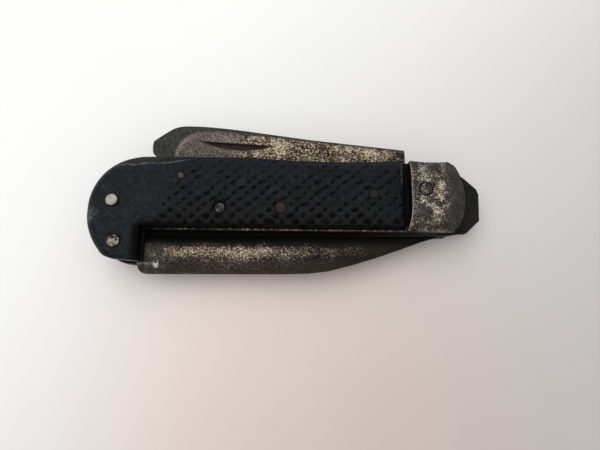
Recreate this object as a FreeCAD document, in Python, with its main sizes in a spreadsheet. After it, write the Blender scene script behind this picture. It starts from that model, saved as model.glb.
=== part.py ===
"""Folding pocket knife: a blade, a tin opener and a marlin spike in a riveted handle with a screwdriver tip.

Lengths are in millimetres. The knife lies closed on its far scale. +X runs from the tail to the screwdriver
tip, +Y from the spike to the back of the blade, and +Z from the far scale to the near scale. The origin is on
the resting face, under the middle of the knife.
"""
import FreeCAD, Part
import math
import os

import Sketcher

SIZES = {
    # Layers of the handle, from the far side to the near side
    "scale_thickness": 4.0,
    "liner_thickness": 1.0,
    "far_gap": 2.3,
    "centre_thickness": 0.7,
    "near_gap": 2.5,
    # Clearances
    "side_clearance": 0.1,
    "running_clearance": 0.05,
    "seat_clearance": 0.02,
    "spring_clearance": 0.3,
    "sweep_clearance": 0.6,
    "cut_overrun": 5.0,
    # Outline of the handle
    "tail_reach": 50.25,
    "nose_reach": 44.6,
    "tail_radius": 13.9,
    "mouth_height": 9.9,
    "mouth_right_height": 8.7,
    "back_depth": 9.6,
    "back_rise": 0.85,
    "ear_depth": 16.95,
    "ear_width": 13.25,
    "ear_lip": 0.7,
    "scale_inset": 0.45,
    "bolster_length": 13.7,
    "bolster_height": 8.65,
    "bolster_groove": 1.6,
    "bolster_flare": 1.1,
    "bolster_flare_rise": 8.0,
    "plate_inset": 0.5,
    # Rounding of the scales and bolsters
    "dome_run": 5.0,
    "dome_drop": 2.2,
    "tail_run": 2.4,
    "tail_drop": 1.8,
    "ear_drop": 0.5,
    "ear_ramp": 9.0,
    "bolster_drop": 0.3,
    "nose_run": 3.8,
    "nose_drop": 2.4,
    # Places of the pins
    "blade_pivot_inset": 10.2,
    "blade_pivot_height": 0.85,
    "opener_pivot_inset": 6.4,
    "opener_pivot_drop": 2.0,
    "spike_pivot_inset": 7.6,
    "left_spring_pin_reach": 16.9,
    "right_spring_pin_reach": 1.8,
    "spring_pin_drop": 4.1,
    "left_scale_pin_inset": 10.1,
    "left_scale_pin_height": 4.3,
    "right_scale_pin_inset": 8.0,
    "right_scale_pin_drop": 0.65,
    # Pins
    "blade_pin_radius": 1.6,
    "opener_rivet_radius": 1.2,
    "opener_head_radius": 1.5,
    "spike_rivet_radius": 1.25,
    "spike_head_radius": 1.55,
    "spring_pin_radius": 1.45,
    "spring_pin_recess": 0.3,
    "left_scale_pin_radius": 0.9,
    "right_scale_pin_radius": 1.25,
    # Blade, from its pivot
    "blade_length": 70.9,
    "blade_height": 18.95,
    "blade_shoulder_reach": 3.9,
    "blade_shoulder_height": 11.9,
    "blade_heel_reach": 9.8,
    "blade_tang_radius": 5.5,
    "blade_grind_width": 5.0,
    "blade_edge_land": 0.3,
    "nick_depth": 0.45,
    # Tin opener, from its pivot
    "opener_length": 36.0,
    "opener_height": 13.4,
    "opener_tang_radius": 3.4,
    # Springs
    "spring_rise": 2.5,
    "spring_taper": 12.0,
    "spring_end_gap": 0.3,
    "driver_length": 5.6,
    "driver_lean": 0.35,
    "driver_foot": 1.8,
    "driver_rise": 0.6,
    "driver_height": 1.4,
    "driver_depth": 5.45,
    "driver_corner": 0.6,
    "driver_bevel_run": 3.4,
    "driver_bevel_drop": 0.6,
    # Marlin spike, from its pivot
    "spike_length": 80.85,
    "spike_butt_reach": 4.25,
    "spike_gap": 0.4,
    "spike_rise": 2.3,
    "spike_height": 9.8,
    "spike_thickness": 7.0,
    "spike_flat_margin": 5.3,
    "spike_tang_radius": 3.6,
    "spike_web_overlap": 1.0,
}

# Corners of the ear as shares of its width and depth, with the bulge share of the side after each, which is
# the height of its arc over half its chord
EAR_SHARES = ((0.055, 0.41, 0.09), (0.271, 0.803, 0.17), (0.483, 0.95, 0.04))
TAIL_BULGE_SHARE = 0.425
EAR_SIDE_BULGE_SHARE = 0.1
MOUTH_HOLLOW_BULGE_SHARE = -0.038
MOUTH_BREAK_SHARES = (0.42, 0.3)

# Corners of the rounded nose as shares of the bolster's length and of its height or depth
NOSE_SHARES = (
    (0.77, -1.0, 0.2), (1.0, -0.21, 0.07), (0.965, 0.47, 0.08), (0.848, 0.87, 0.15), (0.72, 0.96, -0.06),
)

# Curve of the bolster's end towards its flared back corner
FLARE_BULGE_SHARE = -0.068

# Back of the blade from the shoulder to the point, as shares of its length and height
BLADE_BACK_SHARES = ((0.41, 0.787, 0), (0.64, 0.915, 0.02), (0.85, 0.998, 0.02), (0.88, 1.0, 0.14))
BLADE_POINT_SHARES = (
    (0.933, 0.94, 0.02), (0.995, 0.775, 0.12), (0.995, 0.615, 0.25), (0.98, 0.555, 0.02), (0.955, 0.505, 0),
)
HEEL_HEIGHT_SHARE = -0.024
NICK_SHARES = ((0.826, 0.765, 0.17), (0.532, 0.689, 0.02))

# Outline of the tin opener from the underside of its tang, as shares of its length and height
OPENER_SHARES = (
    (0.07, -0.13, 0), (0.22, -0.04, 0), (0.255, 0.2, -0.75), (0.385, 0.14, 0.1), (0.8, 0.28, 0.12),
    (1.0, 0.7, 0.2), (0.86, 1.0, 0), (0.42, 1.0, -0.16), (0.02, 0.2, 0),
)

# Stations along the spike as shares of its length from the butt, with the share of its height at each
SPIKE_SHARES = (
    (0, 0.785), (0.005, 0.918), (0.014, 0.97), (0.03, 0.99), (0.47, 1), (0.56, 0.985), (0.63, 0.93),
    (0.7, 0.795), (0.79, 0.585), (0.88, 0.345), (0.94, 0.175), (0.98, 0.08), (1, 0.045),
)
HALF_SHARE = 0.5
TANG_ROOT_SHARE = 0.7
BLADE_ROOT_SHARE = 0.5

# Corners of the screwdriver tip and of the plate behind it
DRIVER_CORNER_BULGE_SHARE = 0.2
DRIVER_SHOULDER_BULGE_SHARE = 0.1
DRIVER_SLANT_SHARE = 2.9


class Size:
    """A length with its value and the expression of named sizes that gives it."""

    def __init__(self, value, text):
        self.value = value
        self.text = text

    def __add__(self, other):
        return Size(self.value + other.value, f"({self.text} + {other.text})")

    def __sub__(self, other):
        return Size(self.value - other.value, f"({self.text} - {other.text})")

    def __neg__(self):
        return Size(-self.value, f"(-1 * {self.text})")

    def __mul__(self, share):
        return Size(self.value * share, f"({self.text} * {share})")


def distance(across, up):
    """The length of the straight line over two lengths at right angles."""
    return Size(math.hypot(across.value, up.value), f"sqrt({across.text} ^ 2 + {up.text} ^ 2)")


def slope(rise, run):
    """The text of the angle whose slope is a rise over a run."""
    return f"atan2({rise.text}; {run.text})"


doc = FreeCAD.newDocument("pocket_knife")
sheet = doc.addObject("Spreadsheet::Sheet", "sizes")
size = {}
for row, (alias, value) in enumerate(SIZES.items(), start=1):
    sheet.set(f"A{row}", alias)
    sheet.set(f"B{row}", str(value))
    sheet.setAlias(f"B{row}", alias)
    size[alias] = Size(value, f"sizes.{alias}")
doc.recompute()

ZERO = Size(0, "0")
OVERRUN = size["cut_overrun"]

# Levels of the layers
far_layer_z = size["scale_thickness"] + size["liner_thickness"]
centre_z = far_layer_z + size["far_gap"]
near_layer_z = centre_z + size["centre_thickness"]
near_liner_z = near_layer_z + size["near_gap"]
near_scale_z = near_liner_z + size["liner_thickness"]
top_z = near_scale_z + size["scale_thickness"]
middle_z = top_z * HALF_SHARE

# Edges that several pieces share
bolster_x = size["nose_reach"] - size["bolster_length"]
scale_end_x = bolster_x - size["bolster_groove"]
ear_wall_x = size["ear_width"] - size["tail_reach"]
liner_wall_x = ear_wall_x + size["ear_lip"]
back_left_y = size["back_rise"] - size["back_depth"]
back_right_y = -size["back_depth"]
spring_top_y = -size["spring_pin_drop"] + size["spring_rise"]

# Places of the pins, each with its radius
blade_pivot_x = size["nose_reach"] - size["blade_pivot_inset"]
blade_pivot_y = size["blade_pivot_height"]
opener_pivot_x = size["opener_pivot_inset"] - size["tail_reach"]
opener_pivot_y = -size["opener_pivot_drop"]
spike_pivot_x = size["spike_pivot_inset"] - size["tail_reach"]
spike_top_y = -size["back_depth"] - size["spike_gap"]
spike_pivot_y = spike_top_y - size["spike_rise"]
tang_roof_y = spike_pivot_y + size["spike_tang_radius"] + size["spring_clearance"]
BLADE_PIN = (blade_pivot_x, blade_pivot_y, size["blade_pin_radius"])
OPENER_PIN = (opener_pivot_x, opener_pivot_y, size["opener_rivet_radius"])
SPIKE_PIN = (spike_pivot_x, spike_pivot_y, size["spike_rivet_radius"])
LEFT_SPRING_PIN = (-size["left_spring_pin_reach"], -size["spring_pin_drop"], size["spring_pin_radius"])
RIGHT_SPRING_PIN = (-size["right_spring_pin_reach"], -size["spring_pin_drop"], size["spring_pin_radius"])
left_scale_pin_x = ear_wall_x + size["left_scale_pin_inset"]
right_scale_pin_x = scale_end_x - size["right_scale_pin_inset"]
LEFT_SCALE_PIN = (left_scale_pin_x, size["left_scale_pin_height"], size["left_scale_pin_radius"])
RIGHT_SCALE_PIN = (right_scale_pin_x, -size["right_scale_pin_drop"], size["right_scale_pin_radius"])
SPRING_PINS = [LEFT_SPRING_PIN, RIGHT_SPRING_PIN]
SCALE_PINS = [LEFT_SCALE_PIN, RIGHT_SCALE_PIN]


def origin_plane(body, role):
    """One of the body's own origin planes."""
    return next(plane for plane in body.Origin.OriginFeatures if plane.Role == role)


def arc_between(start, end, bulge_share):
    """The arc from start to end that bulges to the right of the way by a share of half its chord."""
    half = (end - start) * HALF_SHARE
    middle = start + half
    right = FreeCAD.Vector(half.y, -half.x, 0)
    to_centre = (bulge_share ** 2 - 1) / (2 * bulge_share)
    centre = middle + right * to_centre
    radius = (start - centre).Length
    first, last = (start, end) if bulge_share > 0 else (end, start)
    angles = [math.atan2(point.y - centre.y, point.x - centre.x) for point in (first, last)]
    circle = Part.Circle(centre, FreeCAD.Vector(0, 0, 1), radius)
    return Part.ArcOfCircle(circle, angles[0], angles[1])


def fix(sketch, kind, places, length):
    """Adds one dimension to a sketch and binds it to its expression."""
    number = sketch.addConstraint(Sketcher.Constraint(kind, *places, length.value))
    sketch.setExpression(f"Constraints[{number}]", length.text)


def outline(body, name, role, level, points, holes=()):
    """A closed sketch on an origin plane, raised to a level.

    Each point is (across, up, bulge share of the side after it), and each round hole is (across, up, radius).
    """
    sketch = body.newObject("Sketcher::SketchObject", name)
    sketch.AttachmentSupport = [(origin_plane(body, role), "")]
    sketch.MapMode = "FlatFace"
    sketch.setExpression("AttachmentOffset.Base.z", level.text)
    corners = [FreeCAD.Vector(across.value, up.value, 0) for across, up, bulge in points]
    count = len(points)
    ends = []
    for number, (across, up, bulge) in enumerate(points):
        start, end = corners[number], corners[(number + 1) % count]
        side = arc_between(start, end, bulge) if bulge else Part.LineSegment(start, end)
        sketch.addGeometry(side, False)
        ends.append((2, 1) if bulge < 0 else (1, 2))
    for number in range(count):
        following = (number + 1) % count
        places = (number, ends[number][1], following, ends[following][0])
        sketch.addConstraint(Sketcher.Constraint("Coincident", *places))
    for number, (across, up, bulge) in enumerate(points):
        fix(sketch, "DistanceX", (-1, 1, number, ends[number][0]), across)
        fix(sketch, "DistanceY", (-1, 1, number, ends[number][0]), up)
        if bulge:
            next_across, next_up, next_bulge = points[(number + 1) % count]
            chord = distance(next_across - across, next_up - up)
            fix(sketch, "Radius", (number,), chord * ((1 + bulge ** 2) / (4 * abs(bulge))))
    for across, up, radius in holes:
        round_hole(sketch, across, up, radius)
    return sketch


def round_hole(sketch, across, up, radius):
    """A fixed circle in a sketch."""
    centre = FreeCAD.Vector(across.value, up.value, 0)
    number = sketch.addGeometry(Part.Circle(centre, FreeCAD.Vector(0, 0, 1), radius.value), False)
    fix(sketch, "DistanceX", (-1, 1, number, 3), across)
    fix(sketch, "DistanceY", (-1, 1, number, 3), up)
    fix(sketch, "Radius", (number,), radius)


def disc(body, name, level, circles):
    """A sketch of round discs (across, up, radius) on the level plane."""
    return outline(body, name, "XY_Plane", level, (), circles)


def pad(body, sketch, thickness):
    """Raises a sketch by a thickness."""
    feature = body.newObject("PartDesign::Pad", f"{sketch.Name}_pad")
    feature.Profile = sketch
    feature.setExpression("Length", thickness.text)
    return feature


def cut_through(body, sketch, both_ways=True, forward=False):
    """Cuts a sketch through the whole body, both ways or to one side of its plane."""
    feature = body.newObject("PartDesign::Pocket", f"{sketch.Name}_cut")
    feature.Profile = sketch
    feature.Type = "ThroughAll"
    feature.SideType = "Symmetric" if both_ways else "One side"
    feature.Reversed = forward
    return feature


def seats(pins, clearance):
    """The holes that pins go through, wider than the pins by a clearance."""
    return [(across, up, radius + clearance) for across, up, radius in pins]


def new_body(name):
    """An empty body for one piece."""
    return doc.addObject("PartDesign::Body", name)


def plate(name, points, level, thickness, pins, discs=()):
    """A flat piece of one outline, with rounded lobes added to it and the holes of its pins."""
    body = new_body(name)
    pad(body, outline(body, f"{name}_outline", "XY_Plane", level, points), thickness)
    for number, lobe in enumerate(discs):
        pad(body, disc(body, f"{name}_lobe_{number}", level, [lobe]), thickness)
    if pins:
        cut_through(body, disc(body, f"{name}_holes", level, pins))
    return body


def mirrored(name, source):
    """The same piece on the other side of the knife's middle plane."""
    twin = doc.addObject("Part::Mirroring", name)
    twin.Source = source
    twin.Normal = FreeCAD.Vector(0, 0, 1)
    twin.setExpression("Base.z", middle_z.text)
    return twin


def ear_points(wall_x, back_y):
    """The tail and the ear, from the top of the tail round to the foot of the ear's wall."""
    top = size["mouth_height"]
    side_y = top - size["tail_radius"]
    width = wall_x + size["tail_reach"]
    depth = side_y + size["ear_depth"]
    points = [
        (size["tail_radius"] - size["tail_reach"], top, TAIL_BULGE_SHARE),
        (-size["tail_reach"], side_y, EAR_SIDE_BULGE_SHARE),
    ]
    for across, down, bulge in EAR_SHARES:
        points.append((width * across - size["tail_reach"], side_y - depth * down, bulge))
    points.append((wall_x, -size["ear_depth"], 0))
    points.append((wall_x, back_y, 0))
    return points


def nose_points():
    """The rounded nose, from the back edge round to the mouth."""
    points = []
    for across, up, bulge in NOSE_SHARES:
        height = size["back_depth"] if up < 0 else size["bolster_height"]
        points.append((bolster_x + size["bolster_length"] * across, height * up, bulge))
    return points


def mouth_points(end_x):
    """The hollow edge of the handle's mouth, from the right end to the left."""
    tail_top_x = size["tail_radius"] - size["tail_reach"]
    across, up = MOUTH_BREAK_SHARES
    fall = size["mouth_height"] - size["mouth_right_height"]
    break_x = tail_top_x + (end_x - tail_top_x) * across
    break_y = size["mouth_height"] - fall * up
    return [(end_x, size["mouth_right_height"], MOUTH_HOLLOW_BULGE_SHARE), (break_x, break_y, 0)]


def tangent_share(drop, run):
    """The bulge share of an arc that leaves a level top and falls by a drop over a run."""
    return math.tan(math.atan2(drop.value, run.value) * HALF_SHARE)


def dome_profile(edge_y, outward, roof_z):
    """The waste above the rounded edge of a scale or bolster, across the handle."""
    run = size["dome_run"] * outward
    out_y = edge_y + OVERRUN * outward
    foot_z = roof_z - size["dome_drop"]
    return [
        (edge_y - run, roof_z, -outward * tangent_share(size["dome_drop"], size["dome_run"])),
        (edge_y, foot_z, 0),
        (out_y, foot_z, 0),
        (out_y, roof_z + OVERRUN, 0),
        (edge_y - run, roof_z + OVERRUN, 0),
    ]


def add_domes(body, mouth_y, back_y, back_start_x, roof_z):
    """Rounds the mouth and back edges of a scale or bolster, the back one from a wall onwards."""
    mouth = outline(body, f"{body.Name}_mouth", "YZ_Plane", ZERO, dome_profile(mouth_y, 1, roof_z))
    cut_through(body, mouth)
    back = outline(body, f"{body.Name}_back", "YZ_Plane", back_start_x, dome_profile(back_y, -1, roof_z))
    cut_through(body, back, both_ways=False, forward=True)


def make_scale():
    """The near scale, with its ear, its rounded edges and a slope down to the ear's rivets."""
    back_y = back_left_y + size["scale_inset"]
    back_end_y = back_right_y + size["scale_inset"]
    points = ear_points(ear_wall_x, back_y) + [(scale_end_x, back_end_y, 0)] + mouth_points(scale_end_x)
    pins = seats([OPENER_PIN, SPIKE_PIN] + SPRING_PINS + SCALE_PINS, size["seat_clearance"])
    scale = plate("near_scale", points, near_scale_z, size["scale_thickness"], pins)
    add_domes(scale, size["mouth_height"], back_end_y, ear_wall_x, top_z)
    ear_z = top_z - size["ear_drop"]
    tail_x = -size["tail_reach"]
    tail = [
        (ear_wall_x + size["ear_ramp"], top_z, 0),
        (ear_wall_x, ear_z, 0),
        (tail_x + size["tail_run"], ear_z, tangent_share(size["tail_drop"], size["tail_run"])),
        (tail_x, ear_z - size["tail_drop"], 0),
        (tail_x - OVERRUN, ear_z - size["tail_drop"], 0),
        (tail_x - OVERRUN, top_z + OVERRUN, 0),
        (ear_wall_x + size["ear_ramp"], top_z + OVERRUN, 0),
    ]
    cut_through(scale, outline(scale, "near_scale_tail", "XZ_Plane", ZERO, tail))
    return scale


def make_bolster():
    """The near bolster, rounded over its edges, sloped down to the nose and flared at its back corner."""
    points = [(bolster_x - size["bolster_flare"], back_right_y, 0)] + nose_points()
    points.append((bolster_x, size["bolster_height"], 0))
    points.append((bolster_x, back_right_y + size["bolster_flare_rise"], FLARE_BULGE_SHARE))
    roof_z = top_z - size["bolster_drop"]
    thickness = size["scale_thickness"] - size["bolster_drop"]
    pins = seats([BLADE_PIN], size["seat_clearance"])
    bolster = plate("near_bolster", points, near_scale_z, thickness, pins)
    add_domes(bolster, size["mouth_height"], back_right_y, ear_wall_x, roof_z)
    nose_x = size["nose_reach"]
    foot_z = roof_z - size["nose_drop"]
    nose = [
        (nose_x - size["nose_run"], roof_z, 0),
        (nose_x - size["nose_run"], roof_z + OVERRUN, 0),
        (nose_x + OVERRUN, roof_z + OVERRUN, 0),
        (nose_x + OVERRUN, foot_z, 0),
        (nose_x, foot_z, 0),
    ]
    cut_through(bolster, outline(bolster, "near_bolster_nose", "XZ_Plane", ZERO, nose))
    return bolster


def make_liner():
    """The near liner, the plate of the whole handle's outline."""
    points = ear_points(liner_wall_x, back_left_y) + nose_points()
    points.append((bolster_x, size["bolster_height"], 0))
    points += mouth_points(scale_end_x)
    pins = seats([BLADE_PIN, OPENER_PIN, SPIKE_PIN] + SPRING_PINS + SCALE_PINS, size["seat_clearance"])
    return plate("near_liner", points, near_liner_z, size["liner_thickness"], pins)


def lower_left_points():
    """The edge over the spike's tang, from the opener's rivet to the back edge."""
    root = size["opener_tang_radius"] * TANG_ROOT_SHARE
    return [
        (opener_pivot_x, opener_pivot_y - root, 0),
        (ear_wall_x, tang_roof_y, 0),
        (liner_wall_x, back_left_y, 0),
    ]


def opener_anchor():
    """The lobe that seats a plate round the opener's rivet."""
    return [(opener_pivot_x, opener_pivot_y, size["opener_tang_radius"])]


def make_centre_liner():
    """The thin plate between the blade's layer and the opener's layer."""
    inset = size["plate_inset"]
    root = size["opener_tang_radius"] * TANG_ROOT_SHARE
    points = lower_left_points()
    for across, up, bulge in nose_points():
        points.append((across - inset, up - inset if up.value > 0 else up, bulge))
    points.append((scale_end_x, size["mouth_right_height"] - inset, 0))
    points.append((ear_wall_x + size["ear_ramp"], size["mouth_height"] - inset, 0))
    points.append((opener_pivot_x, opener_pivot_y + root, 0))
    pins = seats([BLADE_PIN, OPENER_PIN] + SPRING_PINS, size["seat_clearance"])
    thickness = size["centre_thickness"]
    return plate("centre_liner", points, centre_z, thickness, pins, opener_anchor())


def make_blade_spring():
    """The spring of the blade, seated round the opener's rivet and pinned through its middle."""
    end_x = blade_pivot_x + size["blade_shoulder_reach"] - size["spring_end_gap"]
    end_y = blade_pivot_y - size["blade_tang_radius"] - size["spring_clearance"]
    root = size["opener_tang_radius"] * TANG_ROOT_SHARE
    points = lower_left_points() + [
        (end_x, back_right_y, 0),
        (end_x, end_y, 0),
        (blade_pivot_x - size["blade_heel_reach"], end_y, 0),
        (size["spring_taper"] - size["right_spring_pin_reach"], spring_top_y, 0),
        (-size["left_spring_pin_reach"] - size["spring_taper"] * HALF_SHARE, spring_top_y, 0),
        (opener_pivot_x, opener_pivot_y + root, 0),
    ]
    pins = seats([OPENER_PIN] + SPRING_PINS, size["seat_clearance"])
    return plate("blade_spring", points, near_layer_z, size["near_gap"], pins, opener_anchor())


def make_driver_spring():
    """The opener's spring: level along its back, and at the nose a wide plate with the screwdriver tip."""
    leaf_x = spike_pivot_x - size["spike_butt_reach"] + size["sweep_clearance"]
    leaf_y = opener_pivot_y - size["opener_tang_radius"] - size["spring_clearance"]
    nose_x = size["nose_reach"]
    tip_x = nose_x + size["driver_length"]
    high_x = tip_x + size["driver_lean"]
    tip_top = size["driver_height"]
    tip_low = -size["driver_depth"]
    corner = size["driver_corner"]
    inset = size["plate_inset"]
    plate_top = size["bolster_height"] - inset
    points = [
        (leaf_x, tang_roof_y, 0),
        (ear_wall_x, tang_roof_y, 0),
        (liner_wall_x, back_right_y, 0),
        (nose_x - size["nose_run"], back_right_y, 0),
        (nose_x, back_right_y + size["driver_rise"], 0),
        (nose_x + size["driver_foot"], back_right_y + size["driver_rise"], 0),
        (tip_x - corner, tip_low - corner, DRIVER_CORNER_BULGE_SHARE),
        (tip_x, tip_low, 0),
        (high_x, tip_top, DRIVER_SHOULDER_BULGE_SHARE),
        (high_x - corner, tip_top + corner * DRIVER_SLANT_SHARE, 0),
        (nose_x, plate_top - inset, DRIVER_SHOULDER_BULGE_SHARE),
        (nose_x - size["nose_run"], plate_top, 0),
        (bolster_x, plate_top, 0),
        (scale_end_x, spring_top_y, 0),
        (-size["left_spring_pin_reach"] - size["spring_taper"] * HALF_SHARE, spring_top_y, 0),
        (ear_wall_x, leaf_y, 0),
        (leaf_x, leaf_y, 0),
    ]
    pins = seats([BLADE_PIN] + SPRING_PINS, size["seat_clearance"])
    spring = plate("driver_spring", points, far_layer_z, size["far_gap"], pins)
    bevel_x = tip_x - size["driver_bevel_run"]
    for number, (face_z, outward) in enumerate(((centre_z, 1), (far_layer_z, -1))):
        bevel = [
            (bevel_x, face_z, 0),
            (tip_x, face_z - size["driver_bevel_drop"] * outward, 0),
            (tip_x + OVERRUN, face_z - size["driver_bevel_drop"] * outward, 0),
            (tip_x + OVERRUN, face_z + OVERRUN * outward, 0),
            (bevel_x, face_z + OVERRUN * outward, 0),
        ]
        cut_through(spring, outline(spring, f"driver_bevel_{number}", "XZ_Plane", ZERO, bevel))
    return spring


def from_blade_pivot(across, up):
    """A place on the closed blade, as shares of its length towards the point and of its height."""
    return blade_pivot_x - size["blade_length"] * across, blade_pivot_y + size["blade_height"] * up


def blade_outline():
    """The closed blade's outline: shoulder, back, point, straight edge, heel and the root inside the tang."""
    root = size["blade_tang_radius"] * BLADE_ROOT_SHARE
    shoulder_x = blade_pivot_x - size["blade_shoulder_reach"]
    points = [(shoulder_x, blade_pivot_y + size["blade_shoulder_height"], 0)]
    for across, up, bulge in BLADE_BACK_SHARES + BLADE_POINT_SHARES:
        points.append((*from_blade_pivot(across, up), bulge))
    heel_y = blade_pivot_y + size["blade_height"] * HEEL_HEIGHT_SHARE
    points.append((blade_pivot_x - size["blade_heel_reach"], heel_y, 0))
    points.append((shoulder_x, blade_pivot_y - root, 0))
    return points


def grind_box(name, start, end, outward):
    """The waste beside the blade's edge on one face, a box that leans over the edge line."""
    across, up = end[0] - start[0], end[1] - start[1]
    thickness = size["near_gap"] - size["side_clearance"] * 2
    rise = (thickness - size["blade_edge_land"]) * HALF_SHARE
    edge_z = near_layer_z + size["near_gap"] * HALF_SHARE + size["blade_edge_land"] * (HALF_SHARE * outward)
    roll = f"{outward} * {slope(rise, size['blade_grind_width'])}"
    drop = ZERO if outward > 0 else -OVERRUN
    box = doc.addObject("Part::Box", name)
    box.setExpression("Length", (distance(across, up) + OVERRUN).text)
    box.setExpression("Width", (size["blade_grind_width"] + OVERRUN).text)
    box.setExpression("Height", OVERRUN.text)
    box.setExpression(
        "Placement",
        f"placement(vector({start[0].text}; {start[1].text}; {edge_z.text});"
        f" rotation({slope(up, across)}; 0; {roll}))"
        f" * placement(vector({(-OVERRUN).text}; 0; {drop.text}); rotation(0; 0; 0))",
    )
    return box


def cut(name, base, tools):
    """A solid with others taken away from it."""
    waste = tools[0]
    if len(tools) > 1:
        waste = doc.addObject("Part::MultiFuse", f"{name}_waste")
        waste.Shapes = tools
    result = doc.addObject("Part::Cut", name)
    result.Base = base
    result.Tool = waste
    return result


def make_blade():
    """The blade, with a round tang, a nail nick in its near face and a ground edge."""
    face_z = near_layer_z + size["side_clearance"]
    thickness = size["near_gap"] - size["side_clearance"] * 2
    pins = seats([BLADE_PIN], size["running_clearance"])
    points = blade_outline()
    tang = (blade_pivot_x, blade_pivot_y, size["blade_tang_radius"])
    body = plate("blade_blank", points, face_z, thickness, pins, [tang])
    nick_points = [(*from_blade_pivot(across, up), bulge) for across, up, bulge in NICK_SHARES]
    nick = body.newObject("PartDesign::Pocket", "nail_nick")
    nick.Profile = outline(body, "nail_nick_outline", "XY_Plane", face_z + thickness, nick_points)
    nick.setExpression("Length", size["nick_depth"].text)
    heel = points[-2]
    edge_start = points[-3]
    boxes = [grind_box("near_grind", edge_start, heel, 1), grind_box("far_grind", edge_start, heel, -1)]
    return cut("main_blade", body, boxes)


def make_opener():
    """The tin opener, a hooked beak that lies in the far layer behind the blade."""
    face_z = far_layer_z + size["side_clearance"]
    thickness = size["far_gap"] - size["side_clearance"] * 2
    points = []
    for across, up, bulge in OPENER_SHARES:
        place_x = opener_pivot_x + size["opener_length"] * across
        points.append((place_x, opener_pivot_y + size["opener_height"] * up, bulge))
    pins = seats([OPENER_PIN], size["running_clearance"])
    return plate("tin_opener", points, face_z, thickness, pins, opener_anchor())


# A third of a turn about the diagonal, which sets a flat curve across the X axis with its long way along Y
ACROSS_THE_SPIKE = FreeCAD.Rotation(FreeCAD.Vector(1, 1, 1), 120)


def spike_sections():
    """Ellipses across the spike, level along its top and drawn in from below towards the tip."""
    butt_x = spike_pivot_x + size["spike_butt_reach"]
    run = size["spike_length"] - size["spike_butt_reach"]
    sections = []
    for number, (along, tall) in enumerate(SPIKE_SHARES):
        ellipse = doc.addObject("Part::Ellipse", f"spike_section_{number}")
        half_height = size["spike_height"] * (tall * HALF_SHARE)
        ellipse.setExpression("MajorRadius", half_height.text)
        ellipse.setExpression("MinorRadius", (size["spike_thickness"] * (tall * HALF_SHARE)).text)
        ellipse.Placement = FreeCAD.Placement(FreeCAD.Vector(), ACROSS_THE_SPIKE)
        ellipse.setExpression("Placement.Base.x", (butt_x + run * along).text)
        ellipse.setExpression("Placement.Base.y", (spike_top_y - half_height).text)
        ellipse.setExpression("Placement.Base.z", middle_z.text)
        sections.append(ellipse)
    return sections


def flat_box(name, base_z):
    """The waste beside the flat root of the spike, upwards from a level."""
    box = doc.addObject("Part::Box", name)
    reach = size["spike_tang_radius"] + OVERRUN
    low_y = spike_top_y - size["spike_height"] - OVERRUN
    flat_end_x = liner_wall_x + size["spike_flat_margin"]
    box.setExpression("Length", (flat_end_x - spike_pivot_x + reach).text)
    box.setExpression("Width", (spike_pivot_y + reach - low_y).text)
    box.setExpression("Height", size["spike_thickness"].text)
    box.setExpression("Placement.Base.x", (spike_pivot_x - reach).text)
    box.setExpression("Placement.Base.y", low_y.text)
    box.setExpression("Placement.Base.z", base_z.text)
    return box


def make_spike():
    """The marlin spike: a round tapered bar with a flat root and a lobe that turns between the ears."""
    low_z = far_layer_z + size["side_clearance"]
    high_z = near_liner_z - size["side_clearance"]
    bar = doc.addObject("Part::Loft", "spike_bar")
    bar.Sections = spike_sections()
    bar.Solid = True
    bar.Ruled = True
    web_x = spike_pivot_x + size["spike_butt_reach"] + size["spike_web_overlap"]
    web_top = spike_pivot_y + size["spike_rise"] * TANG_ROOT_SHARE
    web_low = spike_pivot_y - size["spike_tang_radius"] * TANG_ROOT_SHARE
    web = [
        (spike_pivot_x, web_top, 0),
        (spike_pivot_x, web_low, 0),
        (web_x, web_low, 0),
        (web_x, web_top, 0),
    ]
    lobe = (spike_pivot_x, spike_pivot_y, size["spike_tang_radius"])
    tang_z = middle_z - size["spike_thickness"] * HALF_SHARE
    tang = plate("spike_tang", web, tang_z, size["spike_thickness"], (), [lobe])
    whole = doc.addObject("Part::MultiFuse", "spike_whole")
    whole.Shapes = [bar, tang]
    bore = cylinder("spike_bore", seats([SPIKE_PIN], size["running_clearance"])[0], ZERO, top_z)
    flats = [flat_box("near_flat", high_z), flat_box("far_flat", low_z - size["spike_thickness"])]
    return cut("marlin_spike", whole, flats + [bore])


def cylinder(name, pin, low_z, high_z):
    """A round bar of a pin's place and radius between two levels."""
    across, up, radius = pin
    bar = doc.addObject("Part::Cylinder", name)
    bar.setExpression("Radius", radius.text)
    bar.setExpression("Height", (high_z - low_z).text)
    bar.setExpression("Placement.Base.x", across.text)
    bar.setExpression("Placement.Base.y", up.text)
    bar.setExpression("Placement.Base.z", low_z.text)
    return bar


def rivet_head(name, pin, head_radius):
    """The domed head of a rivet on the near ear, a slice off a ball."""
    across, up, radius = pin
    height = size["ear_drop"]
    base = top_z - height
    ball = f"(({head_radius.text} ^ 2 + {height.text} ^ 2) / (2 * {height.text}))"
    head = doc.addObject("Part::Sphere", name)
    head.setExpression("Radius", ball)
    head.setExpression("Angle1", f"asin(({ball} - {height.text}) / {ball})")
    head.setExpression("Placement.Base.x", across.text)
    head.setExpression("Placement.Base.y", up.text)
    head.setExpression("Placement.Base.z", f"{base.text} - {ball} + {height.text}")
    return head


def make_rivet(name, pin, head_radius):
    """A rivet through the ear, with a domed head on each scale."""
    shank = cylinder(f"{name}_shank", pin, size["ear_drop"], top_z - size["ear_drop"])
    head = rivet_head(f"{name}_head", pin, head_radius)
    rivet = doc.addObject("Part::MultiFuse", name)
    rivet.Shapes = [shank, head, mirrored(f"{name}_far_head", head)]
    return rivet


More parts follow.
